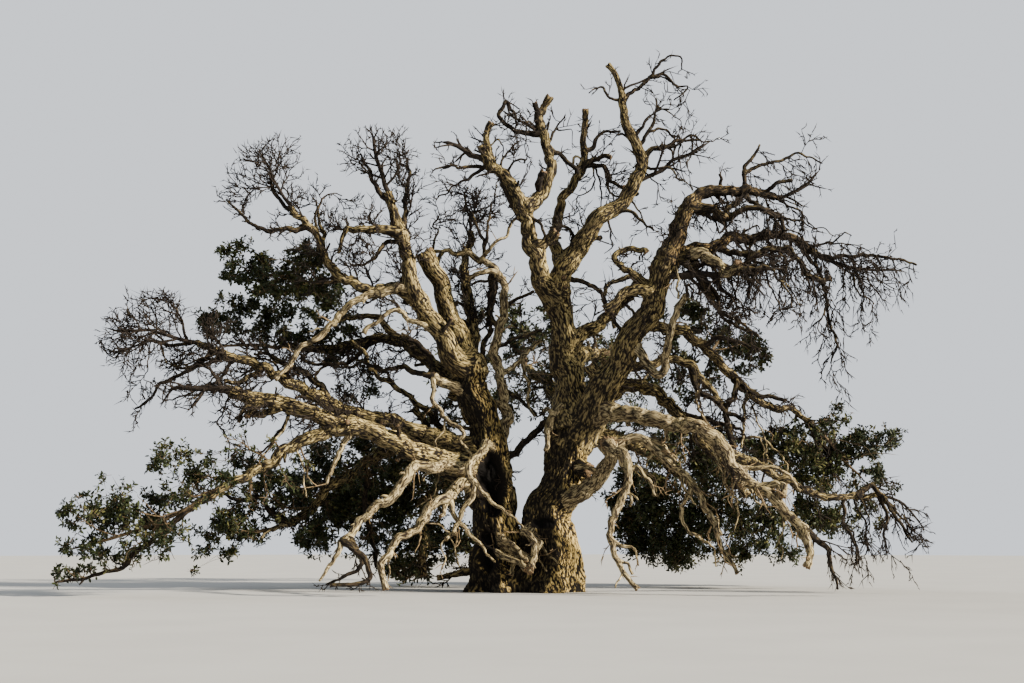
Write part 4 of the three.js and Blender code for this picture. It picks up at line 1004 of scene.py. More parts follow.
def makeLichenGroup():
    group, given, result = startGroup(
        "lichenPatches", {"Color": "Color", "Lichen Color": "Color", "Open": "Float",
                          "Amount": "Float", "Upper Side": "Float"}, {"Color": "Color"})
    place = addNode(group, "ShaderNodeTexCoord").outputs["Object"]
    geometry = addNode(group, "ShaderNodeNewGeometry").outputs
    facing = addNode(group, "ShaderNodeSeparateXYZ", Vector=geometry["Normal"])
    up = times(group, facing.outputs["Z"], given["Upper Side"])
    wide = scaledNoise(group, place, lichenPaint["wide"], 4, 0.65)
    small = scaledNoise(group, place, lichenPaint["small"], 3, 0.6)
    field = calculate(group, "ADD", times(group, wide, lichenPaint["wideShare"]),
                      times(group, small, lichenPaint["smallShare"]))
    field = calculate(group, "ADD", field, up)
    mask = times(group, remap(group, field, *lichenPaint["edge"]), given["Amount"])
    mask = times(group, mask, given["Open"])
    color = blendColors(group, mask, given["Color"], given["Lichen Color"])
    feed(group, result["Color"], color)
    return group


def startMaterial(name, roughness):
    material = bpy.data.materials.new(name)
    material.use_nodes = True
    shader = material.node_tree.nodes["Principled BSDF"]
    shader.inputs["Roughness"].default_value = roughness
    shader.inputs["Specular IOR Level"].default_value = 0.25
    return material, material.node_tree, shader


def roughen(tree, shader, height, strength, distance):
    bump = addNode(tree, "ShaderNodeBump", Height=height, Strength=strength, Distance=distance)
    feed(tree, shader.inputs["Normal"], bump.outputs["Normal"])


def objectNoise(tree, scale, detail, roughness):
    place = addNode(tree, "ShaderNodeTexCoord").outputs["Object"]
    return scaledNoise(tree, place, scale, detail, roughness)


barkGroup = makeBarkGroup()
lichenGroup = makeLichenGroup()
# In each look, 'shade' is the painted shade colour and 'furrow' the colour of the clefts, partly
# painted shade. archBark is darker all over, partly as painted shade on the arch.
barkLooks = {
    "trunkBark": {"plate": tone(238, 206, 128), "second": tone(178, 152, 94),
                  "furrow": tone(18, 14, 11), "shade": tone(46, 42, 37), "shadeSide": 0.95,
                  "cracks": 0.9, "lichen": 0.35, "bump": 1.0},
    "boughBark": {"plate": tone(236, 212, 144), "second": tone(180, 158, 108),
                  "furrow": tone(24, 19, 15), "shade": tone(62, 54, 45), "shadeSide": 0.72,
                  "cracks": 0.9, "lichen": 0.45, "bump": 0.9},
    "archBark": {"plate": tone(176, 148, 96), "second": tone(124, 102, 70),
                 "furrow": tone(20, 16, 12), "shade": tone(46, 39, 32), "shadeSide": 0.9,
                 "cracks": 0.9, "lichen": 0.3, "bump": 0.9},
    "thinBark": {"plate": tone(110, 91, 64), "second": tone(72, 60, 47),
                 "furrow": tone(18, 14, 12), "shade": tone(36, 31, 27), "shadeSide": 0.8,
                 "cracks": 0.9, "lichen": 0.3, "bump": 0.8},
    "deadWood": {"plate": tone(234, 214, 164), "second": tone(186, 166, 124),
                 "furrow": tone(40, 32, 25), "shade": tone(92, 82, 66), "shadeSide": 0.55,
                 "cracks": 0.8, "lichen": 0.4, "bump": 0.8},
}


def makeBarkMaterial(name, look):
    material, tree, shader = startMaterial(name, 0.92)
    bark = addNode(tree, "ShaderNodeGroup", {"node_tree": barkGroup})
    for socket, label, output in (("Grain", "grain", "Vector"), ("Furrow", "furrow", "Fac"),
                                  ("Outer", "outer", "Fac")):
        field = addNode(tree, "ShaderNodeAttribute", {"attribute_name": label})
        feed(tree, bark.inputs[socket], field.outputs[output])
    for socket, key in (("Plate Color", "plate"), ("Second Color", "second"),
                        ("Furrow Color", "furrow"), ("Shade Color", "shade"),
                        ("Shade Side", "shadeSide"), ("Crack Amount", "cracks")):
        feed(tree, bark.inputs[socket], look[key])
    lichen = addNode(tree, "ShaderNodeGroup", {"node_tree": lichenGroup}, Amount=look["lichen"],
                     Color=bark.outputs["Color"], Open=bark.outputs["Open"])
    feed(tree, lichen.inputs["Lichen Color"], lichenPaint["color"])
    feed(tree, lichen.inputs["Upper Side"], lichenPaint["upperSide"])
    feed(tree, shader.inputs["Base Color"], lichen.outputs["Color"])
    roughen(tree, shader, bark.outputs["Height"], look["bump"], 0.02)
    return material


# Woods without a pattern of plates: torn ends and twigs. A noise blends two tones and roughens them.
plainWoods = {
    "brokenWood": {"dark": tone(52, 38, 28), "light": tone(150, 124, 92), "roughness": 0.85,
                   "noise": (30, 4, 0.7), "edge": (0.35, 0.65), "bump": (0.7, 0.02)},
    "twigBark": {"dark": tone(24, 20, 18), "light": tone(54, 45, 36)},
    "greyTwigs": {"dark": tone(50, 42, 32), "light": tone(116, 98, 72)},
    "paleTwigs": {"dark": tone(92, 76, 56), "light": tone(160, 138, 104)},
}
twigLook = {"roughness": 0.9, "noise": (22, 3, 0.6), "edge": (0.35, 0.68), "bump": (0.4, 0.004)}


def makePlainWood(name, look):
    look = {**twigLook, **look}
    material, tree, shader = startMaterial(name, look["roughness"])
    mottle = objectNoise(tree, *look["noise"])
    color = blendColors(tree, remap(tree, mottle, *look["edge"]), look["dark"], look["light"])
    feed(tree, shader.inputs["Base Color"], color)
    roughen(tree, shader, mottle, *look["bump"])
    return material


leafLooks = {"darkLeaves": tone(38, 46, 26), "greenLeaves": tone(52, 60, 32),
             "oliveLeaves": tone(88, 88, 50)}
leafMottle = {"noise": (26, 2, 0.5), "edge": (0.3, 0.7), "tones": (0.72, 1.28),
              "roughness": (0.4, 0.62)}


def makeLeafMaterial(name, color):
    material, tree, shader = startMaterial(name, 0.5)
    mottle = objectNoise(tree, *leafMottle["noise"])
    shade = remap(tree, mottle, *leafMottle["edge"], *leafMottle["tones"])
    gloss = remap(tree, mottle, *leafMottle["edge"], *leafMottle["roughness"])
    feed(tree, shader.inputs["Base Color"], blendColors(tree, 1.0, color, shade, "MULTIPLY"))
    feed(tree, shader.inputs["Roughness"], gloss)
    return material


woods = {name: makeBarkMaterial(name, look) for name, look in barkLooks.items()}
woods.update({name: makePlainWood(name, look) for name, look in plainWoods.items()})
leafMaterials = {name: makeLeafMaterial(name, color) for name, color in leafLooks.items()}


def putInScene(name, data):
    made = bpy.data.objects.new(name, data)
    bpy.context.scene.collection.objects.link(made)
    return made


def addPiece(name, points, faces, materials, kinds=None, fields=None):
    mesh = bpy.data.meshes.new(name)
    mesh.vertices.add(len(points))
    mesh.vertices.foreach_set("co", np.ascontiguousarray(points, np.float32).ravel())
    corners = np.concatenate([part.ravel() for part in faces]).astype(np.int32)
    sizes = np.concatenate([np.full(len(part), part.shape[1]) for part in faces])
    mesh.loops.add(len(corners))
    mesh.loops.foreach_set("vertex_index", corners)
    mesh.polygons.add(len(sizes))
    starts = np.concatenate([[0], np.cumsum(sizes)[:-1]]).astype(np.int32)
    mesh.polygons.foreach_set("loop_start", starts)
    mesh.polygons.foreach_set("use_smooth", np.ones(len(sizes), bool))
    for material in materials:
        mesh.materials.append(material)
    if kinds is not None:
        mesh.polygons.foreach_set("material_index", np.asarray(kinds, np.int32))
    for label, kind, key, values in fields or ():
        layer = mesh.attributes.new(label, kind, "POINT")
        layer.data.foreach_set(key, np.ascontiguousarray(values, np.float32).ravel())
    mesh.update(calc_edges=True)
    mesh.validate()
    piece = putInScene(name, mesh)
    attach(piece, "root")
    return piece


def rootOf(limb):
    while not limb["framed"]:
        limb = limb["parent"]
    return limb["name"]


# What bark carries to its material, as the piece's own attributes.
barkFields = (("grain", "FLOAT_VECTOR", "vector"), ("furrow", "FLOAT", "value"),
              ("outer", "FLOAT", "value"))
carriedFrom = 0.985


def dressLimbs():
    joints = jointsOf(limbs)
    carriedOn = {limb["parent"]["name"] for limb in limbs.values()
                 if limb["parent"] and limb["share"] >= carriedFrom}
    carriedOn |= {source[0] for _, source, *_ in masses if source[1] == 1}
    shells = {}
    for limb in limbs.values():
        shells.setdefault(rootOf(limb), []).append(limbShell(limb, joints, carriedOn))
    total = 0
    for name, parts in shells.items():
        used = sorted({kind for part in parts for kind in part["kinds"]})
        faces, kinds, count = [], [], 0
        for part in parts:
            faces += [face + count for face in part["faces"]]
            kinds += [used.index(kind) for kind in part["kinds"]]
            count += len(part["points"])
        points = np.vstack([part["points"] for part in parts])
        fields = [(label, kind, key, np.concatenate([part[label] for part in parts]))
                  for label, kind, key in barkFields]
        piece = addPiece(name + "_bark", points, faces, [woods[kind] for kind in used],
                         kinds, fields)
        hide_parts(name)
        total += sum(len(face) * (face.shape[1] - 2) for face in faces)
    print("limb pieces:", len(shells), "triangles:", total)


dressLimbs()

# The shoots of the source's rule, then the finer ones that carry it on.
shootRules = [
    {"every": 0.44, "least": 4, "spread": 0.95, "length": 0.8, "radius": 0.55, "first": 0.15},
    {"every": 0.75, "least": 1, "spread": 0.75, "length": 0.65, "radius": 0.6, "first": 0.35},
]
finerRules = [
    {"every": 0.2, "least": 1, "spread": 0.85, "length": 0.55, "radius": 0.62, "first": 0.12,
     "reach": 1.0},
    {"every": 0.17, "least": 1, "spread": 0.8, "length": 0.62, "radius": 0.65, "first": 0.2,
     "reach": 1.04},
    {"every": 0.17, "least": 0, "spread": 0.7, "length": 0.6, "radius": 0.75, "first": 0.25,
     "reach": 1.08},
]
# How full the bare masses are where the photograph shows few twigs, and how thin they all stay.
bareFullness = {"west_crest_twigs": 0.2, "crown_twigs": 0.2, "crest_twigs": 0.25,
                "crest_east_twigs": 0, "arch_twigs": 0.2, "arch_under_twigs": 0.1,
                "arch_end_twigs": 0.3, "west_low_twigs": 0.7}
# How close the finest twigs stand, by mass or by framed limb, and how close elsewhere.
bushy = {"northwest_twigs": 1.1, "far_west_twigs": 1.15, "back_west_twigs": 1.6,
         "west_crown_twigs": 1.1, "northwest_bough": 1.0, "west_mid_bough": 1.0,
         "back_west_bough": 1.0, "west_crown_bough": 1.2, "west_shelf_bough": 1.1,
         "back_mid_bough": 1.1, "arch_bough": 0.8, "arch_low_bough": 0.85,
         "crest_bough": 0.42, "crown_bough": 0.45, "crest_twigs": 0.5, "crown_twigs": 0.5}
sparse = 0.68
slimness = (0.8, 0.6, 0.75)
massSag = {"arch_twigs": 0.6, "arch_end_twigs": 1.0, "arch_under_twigs": 0.9,
           "far_east_twigs": 0.9, "northwest_twigs": -0.3, "west_crown_twigs": -0.4}
# The pairs for vary are the least and the span above it.
twigRule = {"least": 0.014, "leastShoot": 0.3, "bow": 0.1, "gap": 0.03,
            "shorter": (1, 0.8, 0.62, 0.48, 0.36), "testedAt": (0.3, 0.55, 0.8, 1),
            "margin": 0.05, "bareReach": 1.0, "leafyReach": 0.88, "lowest": 0.06, "stem": 0.9,
            "sideStem": 0.5, "jitter": 0.8, "shortening": 0.35, "thinning": 0.5,
            "lengthVary": (0.75, 0.5), "beadEvery": 0.2}
finerRule = {"finest": 0.017, "spreadVary": (0.75, 0.5), "lengthVary": (0.6, 0.8), "hang": 0.35,
             "bow": 1.6, "bowHang": 0.08, "tries": 3, "shortest": 0.05}
massCentres = np.array([mass[2] for mass in masses], float)
massHalves = np.array([mass[3] for mass in masses], float)


def depthsIn(points):
    return np.linalg.norm((points[..., None, :] - massCentres) / massHalves, axis=-1)


def keepsToSpace(points, massIndex, reach):
    depths = depthsIn(points)
    own = np.take_along_axis(depths, massIndex[:, None, None], axis=2)
    others = depths > own + twigRule["margin"]
    np.put_along_axis(others, massIndex[:, None, None], True, axis=2)
    fits = (own[..., 0] <= reach) & (points[..., 2] >= twigRule["lowest"]) & others.all(axis=2)
    return fits.all(axis=1)


def bezier(twigs, shares):
    t = np.asarray(shares)[..., None]
    a, b, c = twigs["start"], twigs["middle"], twigs["tip"]
    if t.ndim == 3:
        a, b, c = a[:, None], b[:, None], c[:, None]
    return (1 - t) ** 2 * a + 2 * t * (1 - t) * b + t**2 * c


def bezierHeading(twigs, shares):
    t = np.asarray(shares)[..., None]
    ahead = (1 - t) * (twigs["middle"] - twigs["start"]) + t * (twigs["tip"] - twigs["middle"])
    return unit(ahead)


# For places dealt out along a batch of twigs: each place's twig, and its number on that twig.
def dealOut(counts):
    parents = np.repeat(np.arange(len(counts)), counts)
    return parents, np.arange(len(parents)) - np.repeat(np.cumsum(counts) - counts, counts)


# A whole batch of twigs: which mass they grow in, or -1, how far they hang, whether they carry leaves
# or are pale, and how close the finer twigs stand on them.
def asBatch(shape, mass, sag=0, leafy=False, pale=False, dense=1):
    count = len(shape["length"])
    tags = {"mass": mass, "sag": float(sag), "leafy": leafy, "pale": pale, "dense": float(dense)}
    return {**shape, **{key: np.full(count, value) for key, value in tags.items()}}


def pick(twigs, rows):
    return {key: values[rows] for key, values in twigs.items()}


def gather(batches):
    return {key: np.concatenate([batch[key] for batch in batches]) for key in batches[0]}


limbBeads = []
for row in framedLimbs:
    limb = limbs[row[0]]
    count = math.ceil(limb["length"] / twigRule["beadEvery"])
    shares = np.linspace(0, 1, count + 1)
    limbBeads.append(np.column_stack([limbPoints(limb, shares), limbRadius(limb, shares, 0.0)]))
limbBeads = np.vstack(limbBeads)


def clearOfLimbs(points, radius):
    apart = np.linalg.norm(points[:, None] - limbBeads[None, :, :3], axis=2)
    return bool((apart > limbBeads[:, 3] + radius + twigRule["gap"]).all())


def stemOf(mass, draw):
    limb = limbs[mass[1][0]]
    share = mass[1][1]
    start, before = limbPoints(limb, [share, share - 0.001])
    reach = np.array(mass[4], float)
    length = np.linalg.norm(reach - start)
    outward = unit(start - before) if share == 1 else unit(reach - start)
    middle = (start + outward * length * 0.5 + (start + reach) / 2) / 2
    thickness = twigRule["stem"] if share == 1 else twigRule["sideStem"]
    radius = float(limbRadius(limb, share, 0.0)) * thickness
    return {"start": start, "middle": middle, "tip": reach, "length": length, "radius": radius,
            "turn": draw() * 2 * math.pi}


def shootsOf(twig, rule, index, reach, draw):
    count = max(rule["least"], math.floor(twig["length"] / rule["every"] + 0.5))
    made = []
    for i in range(count):
        place = (i + draw() * twigRule["jitter"]) / count
        share = rule["first"] + place * (1 - rule["first"])
        tangent = bezierHeading(twig, share)
        side = sideways(tangent, np.array(i * goldenAngle + twig["turn"]))
        heading = unit(tangent * math.cos(rule["spread"]) + side * math.sin(rule["spread"]))
        wanted = twig["length"] * rule["length"] * (1 - twigRule["shortening"] * share)
        wanted *= vary(twigRule["lengthVary"], draw())
        thinner = 1 - twigRule["thinning"] * share
        radius = max(twigRule["least"], twig["radius"] * rule["radius"] * thinner)
        start = bezier(twig, share)
        turn = draw() * 2 * math.pi
        for part in twigRule["shorter"]:
            length = part * wanted
            bow = sideways(heading, np.array(draw() * 2 * math.pi)) * twigRule["bow"] * length
            tip = start + heading * length
            shoot = {"start": start, "middle": (start + tip) / 2 + bow, "tip": tip,
                     "length": length, "radius": radius, "turn": turn}
            tested = bezier(shoot, np.array(twigRule["testedAt"]))
            fits = keepsToSpace(tested[None], np.array([index]), reach)[0]
            if fits and length >= twigRule["leastShoot"] and clearOfLimbs(tested, radius):
                made.append(shoot)
                break
    return made


def closeness(name):
    return bushy.get(name, sparse)


# The room that free twigs keep to, and the lowest point of any twig or leaf.
room = {"inside": 0.05, "lowest": 0.08}
roomLow = np.array(cadBox[0]) + room["inside"]
roomHigh = np.array(cadBox[1]) - room["inside"]
roomLow[2] = room["lowest"]
lowestPoint = 0.01


# One finer order of shoots on a batch of twigs.
def finerShoots(twigs, rule, random):
    wished = twigs["length"] * twigs["dense"] / rule["every"]
    counts = np.maximum(rule["least"], np.round(wished)).astype(int)
    parents, order = dealOut(counts)
    total = len(parents)
    place = (order + random.random(total) * twigRule["jitter"]) / counts[parents]
    share = rule["first"] + place * (1 - rule["first"])
    on = pick(twigs, parents)
    tangent = bezierHeading(on, share)
    side = sideways(tangent, order * goldenAngle + on["turn"])
    spread = rule["spread"] * vary(finerRule["spreadVary"], random.random(total))[:, None]
    heading = tangent * np.cos(spread) + side * np.sin(spread)
    heading[:, 2] -= on["sag"] * finerRule["hang"]
    heading = unit(heading)
    wanted = on["length"] * rule["length"] * (1 - twigRule["shortening"] * share)
    wanted *= vary(finerRule["lengthVary"], random.random(total))
    radius = on["radius"] * rule["radius"] * (1 - twigRule["thinning"] * share)
    made = {**on, "start": bezier(on, share), "radius": np.maximum(finerRule["finest"], radius),
            "turn": random.random(total) * 2 * math.pi}
    bow = sideways(heading, random.random(total) * 2 * math.pi)
    bow = bow * twigRule["bow"] * finerRule["bow"]
    bow[:, 2] += on["sag"] * finerRule["bowHang"]
    kept = []
    waiting = np.ones(total, bool)
    for part in twigRule["shorter"][:finerRule["tries"]]:
        length = wanted * part
        tip = made["start"] + heading * length[:, None]
        trial = {**made, "tip": tip, "length": length,
                 "middle": (made["start"] + tip) / 2 + bow * length[:, None]}
        tested = bezier(trial, np.broadcast_to([0.5, 1.0], (total, 2)))
        inMass = keepsToSpace(tested, np.maximum(trial["mass"], 0), rule["reach"])
        free = (tested > roomLow).all(axis=(1, 2)) & (tested < roomHigh).all(axis=(1, 2))
        fits = waiting & np.where(trial["mass"] >= 0, inMass, free)
        fits &= length > finerRule["shortest"]
        kept.append(pick(trial, fits))
        waiting &= ~fits
    return gather(kept)


def growMasses():
    orders = [[], [], []]
    for index, mass in enumerate(masses):
        leafy = index < len(leafyMasses)
        reach = twigRule["leafyReach"] if leafy else twigRule["bareReach"]
        draw = seededStream(mass[0])
        twigs = [stemOf(mass, draw)]
        for level in range(3):
            if twigs:
                shape = {key: np.array([twig[key] for twig in twigs]) for key in twigs[0]}
                shape["radius"] = shape["radius"] * slimness[level]
                orders[level].append(asBatch(shape, index, massSag.get(mass[0], 0), leafy,
                                             dense=closeness(mass[0])))
            if level < 2:
                twigs = [shoot for twig in twigs
                         for shoot in shootsOf(twig, shootRules[level], index, reach, draw)]
            if level == 0:
                twigs = [twig for twig in twigs if draw() < bareFullness.get(mass[0], 1)]
    return [gather(batches) for batches in orders]


# Shoots straight from the limbs, a row each: how many a metre, shortest and longest, how far they hang
# (below zero they rise), from which share of the limb on, and whether they carry leaves.
limbShootRows = """
trunk 0.2 0.2 0.5 0 0.6
west_stem 0.5 0.25 0.7 0 0.3
crest_bough 1 0.25 0.7 -0.2 0.2
east_bough 1.2 0.3 1 0.2 0.2
broken_top_bough 0.6 0.2 0.6 -0.3 0.2
west_crown_bough 2.4 0.4 1.2 -0.5 0.35
back_west_bough 3.6 0.4 1.2 -0.5 0.3
braided_bough 1.6 0.3 0.8 0 0.2
west_low_bough 2.4 0.4 1.2 0.2 0.3
west_fork_bough 3 0.4 1.2 0.2 0.3 leafy
west_mid_bough 3.9 0.5 1.4 0.1 0.3
west_shelf_bough 3.3 0.4 1.2 0 0.3
northwest_bough 3.9 0.4 1.3 -0.3 0.2
west_back_low_bough 3.6 0.5 1.3 0.1 0.4 leafy
front_west_bough 1.2 0.3 0.8 0.4 0.3
front_knee_bough 1 0.25 0.6 0.4 0.4
front_hanging_bough 1.2 0.3 0.7 0.5 0.3
west_crest_bough 1.3 0.3 0.8 -0.3 0.2
crown_bough 1.8 0.25 0.7 -0.3 0.1
knotted_bough 1.8 0.25 0.7 -0.2 0.1
dark_reach_bough 1.8 0.3 0.9 0 0.3
arch_bough 3 0.4 1.2 0.8 0.2
arch_low_bough 3 0.5 1.7 1.3 0.1
east_low_bough 1.8 0.4 1 0.7 0.3
far_east_bough 3.6 0.4 1.1 0.9 0.2
east_step_bough 2.4 0.4 1.1 0.7 0.3
east_mid_bough 3 0.4 1.3 0.8 0.15
east_elbow_bough 0.9 0.25 0.6 0.2 0.5
hanging_bough 1.5 0.3 0.8 0.7 0.2
east_droop_bough 2.4 0.4 1 0.8 0.2
back_low_bough 3.6 0.5 1.2 0 0.4 leafy
back_mid_bough 3.6 0.5 1.2 0 0.4 leafy
back_east_bough 3.6 0.5 1.2 0 0.4 leafy
back_far_bough 3.6 0.5 1.2 0 0.5 leafy
back_far_east_bough 3.6 0.5 1.2 0 0.5 leafy
"""
shootsOnLimbs = {name: (*map(float, numbers[:5]), len(numbers) > 5)
                 for name, *numbers in readRows(limbShootRows)}
sideLimbShoots = {"perMetre": 4.2, "shortest": 0.25, "longest": 0.95, "first": 0.2,
                  "paleShare": 0.15}
limbShootRule = {"spreadVary": (0.7, 0.6), "hang": 0.6, "tipHang": 0.3, "middleHang": 0.18,
                 "bow": 0.3, "lengthPower": 1.5, "radius": 0.35, "thickest": 0.038,
                 "least": 0.016, "radiusVary": (0.6, 0.5)}


def shootsAlongLimbs():
    rule = limbShootRule
    batches = []
    for row in framedLimbs + sideLimbs:
        limb = limbs[row[0]]
        random = numberStream(limb["name"] + " shoots")
        density, shortest, longest, sag, first, leafy = shootsOnLimbs[rootOf(limb)]
        pale = limb["bark"] == "deadWood"
        close = closeness(rootOf(limb))
        if not limb["framed"]:
            density = sideLimbShoots["perMetre"] * (sideLimbShoots["paleShare"] if pale else 1)
            density *= min(1, close / sparse)
            shortest, longest = sideLimbShoots["shortest"], sideLimbShoots["longest"]
            first = sideLimbShoots["first"]
        count = int(limb["length"] * (1 - first) * density + 0.5)
        if not count:
            continue
        share = first + (1 - first) * (np.arange(count) + random.random(count)) / count
        start = limbPoints(limb, share)
        ahead = np.minimum(share + 0.01, 1)
        heading = unit(limbPoints(limb, ahead) - limbPoints(limb, ahead - 0.02))
        side = sideways(heading, random.random(count) * 2 * math.pi)
        spread = vary(rule["spreadVary"], random.random(count))[:, None]
        way = heading * np.cos(spread) + side * np.sin(spread)
        way[:, 2] -= sag * rule["hang"]
        way = unit(way)
        length = shortest + (longest - shortest) * random.random(count) ** rule["lengthPower"]
        length = length + limbRadius(limb, share, 0.0)
        tip = start + way * length[:, None]
        tip[:, 2] -= sag * rule["tipHang"] * length
        bow = (random.random((count, 3)) - 0.5) * rule["bow"] * length[:, None]
        middle = (start + tip) / 2 + bow
        middle[:, 2] += sag * rule["middleHang"] * length
        thin = np.minimum(limbRadius(limb, share, 0.0) * rule["radius"], rule["thickest"])
        radius = np.maximum(rule["least"], thin * vary(rule["radiusVary"], random.random(count)))
        shape = {"start": start, "middle": middle, "tip": tip, "length": length,
                 "radius": radius, "turn": random.random(count) * 2 * math.pi}
        inside = (tip > roomLow).all(axis=1) & (tip < roomHigh).all(axis=1)
        batches.append(pick(asBatch(shape, -1, sag, leafy, pale, close), inside))
    return gather(batches)


def twigTubes(twigs, steps, sides, tipShare):
    count = len(twigs["length"])
    t = np.broadcast_to(np.linspace(0, 1, steps + 1), (count, steps + 1))
    centres = bendWood(bezier(twigs, t))
    heading = unit(np.gradient(centres, axis=1))
    across = sideways(heading, np.zeros(heading.shape[:2]))
    upright = np.cross(heading, across)
    radius = twigs["radius"][:, None] * (1 - (1 - tipShare) * t)
    angles = np.arange(sides) * 2 * math.pi / sides
    ring = (across[:, :-1, None] * np.cos(angles)[:, None]
            + upright[:, :-1, None] * np.sin(angles)[:, None])
    rings = centres[:, :-1, None] + ring * radius[:, :-1, None, None]
    points = np.concatenate([rings.reshape(count, -1, 3), centres[:, -1:]], axis=1)
    each = points.shape[1]
    faces = []
    for step in range(steps - 1):
        for i in range(sides):
            a, b = step * sides + i, step * sides + (i + 1) % sides
            faces += [(a, b, b + sides), (a, b + sides, a + sides)]
    last = (steps - 1) * sides
    faces += [(last + i, last + (i + 1) % sides, each - 1) for i in range(sides)]
    faces = (np.array(faces)[None] + np.arange(count)[:, None, None] * each).reshape(-1, 3)
    return points.reshape(-1, 3), faces


def joinMeshes(meshes):
    points, faces, count = [], [], 0
    for some, corners in meshes:
        points.append(some)
        faces.append(corners + count)
        count += len(some)
    return np.vstack(points), np.vstack(faces)


# The finest shoots, which carry most of the leaves.
sprayRule = {"every": 0.12, "least": 2, "spread": 0.85, "length": 0.5, "radius": 0.7,
             "first": 0.25, "reach": 1.3}
# A leaf: two quads folded along the midrib, from stalk to tip, as length, width and lift.
leafRule = {"length": 0.122, "vary": 0.3, "width": 0.5, "every": 0.05, "least": 3, "first": 0.2,
            "span": 0.8, "spread": 0.95, "tumble": 1.1,
            "outline": [(0, 0, 0), (0.28, -0.46, 0.07), (0.7, -0.38, 0.05), (1, 0, -0.06),
                        (0.7, 0.38, 0.05), (0.28, 0.46, 0.07)],
            "faces": [(0, 3, 2, 1), (0, 5, 4, 3)]}


def leavesOn(twigs, random):
    counts = np.round(twigs["length"] / leafRule["every"])
    counts = np.maximum(leafRule["least"], counts).astype(int)
    parents, order = dealOut(counts)
    total = len(parents)
    place = leafRule["span"] * (order + random.random(total)) / counts[parents]
    share = leafRule["first"] + place
    on = pick(twigs, parents)
    tangent = bezierHeading(on, share)
    base = bendWood(bezier(on, share))
    side = sideways(tangent, order * goldenAngle + on["turn"])
    heading = unit(tangent * math.cos(leafRule["spread"]) + side * math.sin(leafRule["spread"]))
    up = unit(random.normal(size=(total, 3)) * leafRule["tumble"] + np.array([0, 0, 1.0]))
    across = unit(np.cross(heading, up))
    up = np.cross(across, heading)
    length = leafRule["length"] * (1 + leafRule["vary"] * (random.random(total) * 2 - 1))
    outline = np.array(leafRule["outline"])
    points = (base[:, None]
              + heading[:, None] * (outline[:, :1] * length[:, None, None])
              + across[:, None] * (outline[:, 1:2] * length[:, None, None] * leafRule["width"])
              + up[:, None] * (outline[:, 2:] * length[:, None, None]))
    # The colour goes by spray: every leaf of a twig has the same one.
    dealt = random.random(len(counts))[parents]
    return points, dealt, base


# Twigs that reach out from the nearest wood to the places where leaves gather.
cloudRule = {"depthShare": 0.7, "behind": 0.15, "shift": 0.3, "sizeVary": (0.75, 0.5), "flat": 0.8,
             "steps": 4, "branchlets": 21, "least": 3, "perRadius": 0.5, "deepPower": 0.45,
             "stray": (0.85, 0.55), "gapSize": 0.6, "gapShare": 0.25, "deadSize": 0.5,
             "deadShare": 0.13, "edge": 0.15, "leader": 0.026, "branchlet": 0.0095,
             "backClouds": 13, "backVary": (0.35, 0.5), "backRadius": (0.4, 0.8)}
# Where the clouds of a mass are wider than in the table, and where they have more gaps.
widerClouds = {"west_high_leaves": 1.2, "east_inner_leaves": 1.25, "back_west_leaves": 1.25,
               "west_under_leaves": 1.25, "east_low_leaves": 1.1, "west_shelf_leaves": 1.15,
               "east_high_leaves": 1.2, "back_mid_leaves": 1.2}
cloudGaps = {"west_high_leaves": 0.12, "west_shelf_leaves": 0.1, "east_inner_leaves": 0.42,
             "back_west_leaves": 0.38}
reachRule = {"ahead": 0.4, "straight": 0.55, "bent": 0.45, "sway": 0.25, "shortest": 0.05,
             "radiusShare": 0.7, "finest": 0.006, "twigShares": (0.35, 0.6, 0.8, 1.0),
             "taper": 0.6, "limbFrom": 0.3, "limbEvery": 0.25}


# Samples of wood are three arrays: points, headings and radii.
def joinSamples(samples):
    return [np.concatenate(parts) for parts in zip(*samples)]


def woodSamples(batches):
    shares = np.array(reachRule["twigShares"])
    made = []
    for twigs in batches:
        t = np.broadcast_to(shares, (len(twigs["length"]), len(shares)))
        on = {key: twigs[key][:, None] for key in ("start", "middle", "tip")}
        radii = twigs["radius"][:, None] * (1 - reachRule["taper"] * shares)
        made.append((bezier(twigs, t).reshape(-1, 3), bezierHeading(on, t).reshape(-1, 3),
                     radii.ravel()))
    return joinSamples(made)


def limbSamples():
    made = []
    for limb in limbs.values():
        if " stub " in limb["name"] or limb["standing"]:
            continue
        count = max(2, int(limb["length"] / reachRule["limbEvery"]))
        shares = np.linspace(reachRule["limbFrom"], 1, count)
        line = limbPoints(limb, shares)
        made.append((line, unit(np.gradient(line, axis=0)), limbRadius(limb, shares, 0.0)))
    return joinSamples(made)


def reachOut(targets, massIndex, wood, radius, random):
    points, headings, radii = wood
    tree = KDTree(len(points))
    for i, point in enumerate(points):
        tree.insert(point, i)
    tree.balance()
    nearest = np.array([tree.find(target)[1] for target in targets])
    start = points[nearest]
    span = targets - start
    length = np.linalg.norm(span, axis=1)
    ahead = start + headings[nearest] * (reachRule["ahead"] * length)[:, None]
    middle = reachRule["straight"] * (start + targets) / 2 + reachRule["bent"] * ahead
    middle += (random.random(targets.shape) - 0.5) * reachRule["sway"] * length[:, None]
    limit = np.maximum(reachRule["radiusShare"] * radii[nearest], reachRule["finest"])
    shape = {"start": start, "middle": middle, "tip": targets,
             "length": np.maximum(length, reachRule["shortest"]),
             "radius": np.minimum(radius, limit),
             "turn": random.random(len(targets)) * 2 * math.pi}
    return asBatch(shape, massIndex, leafy=True)


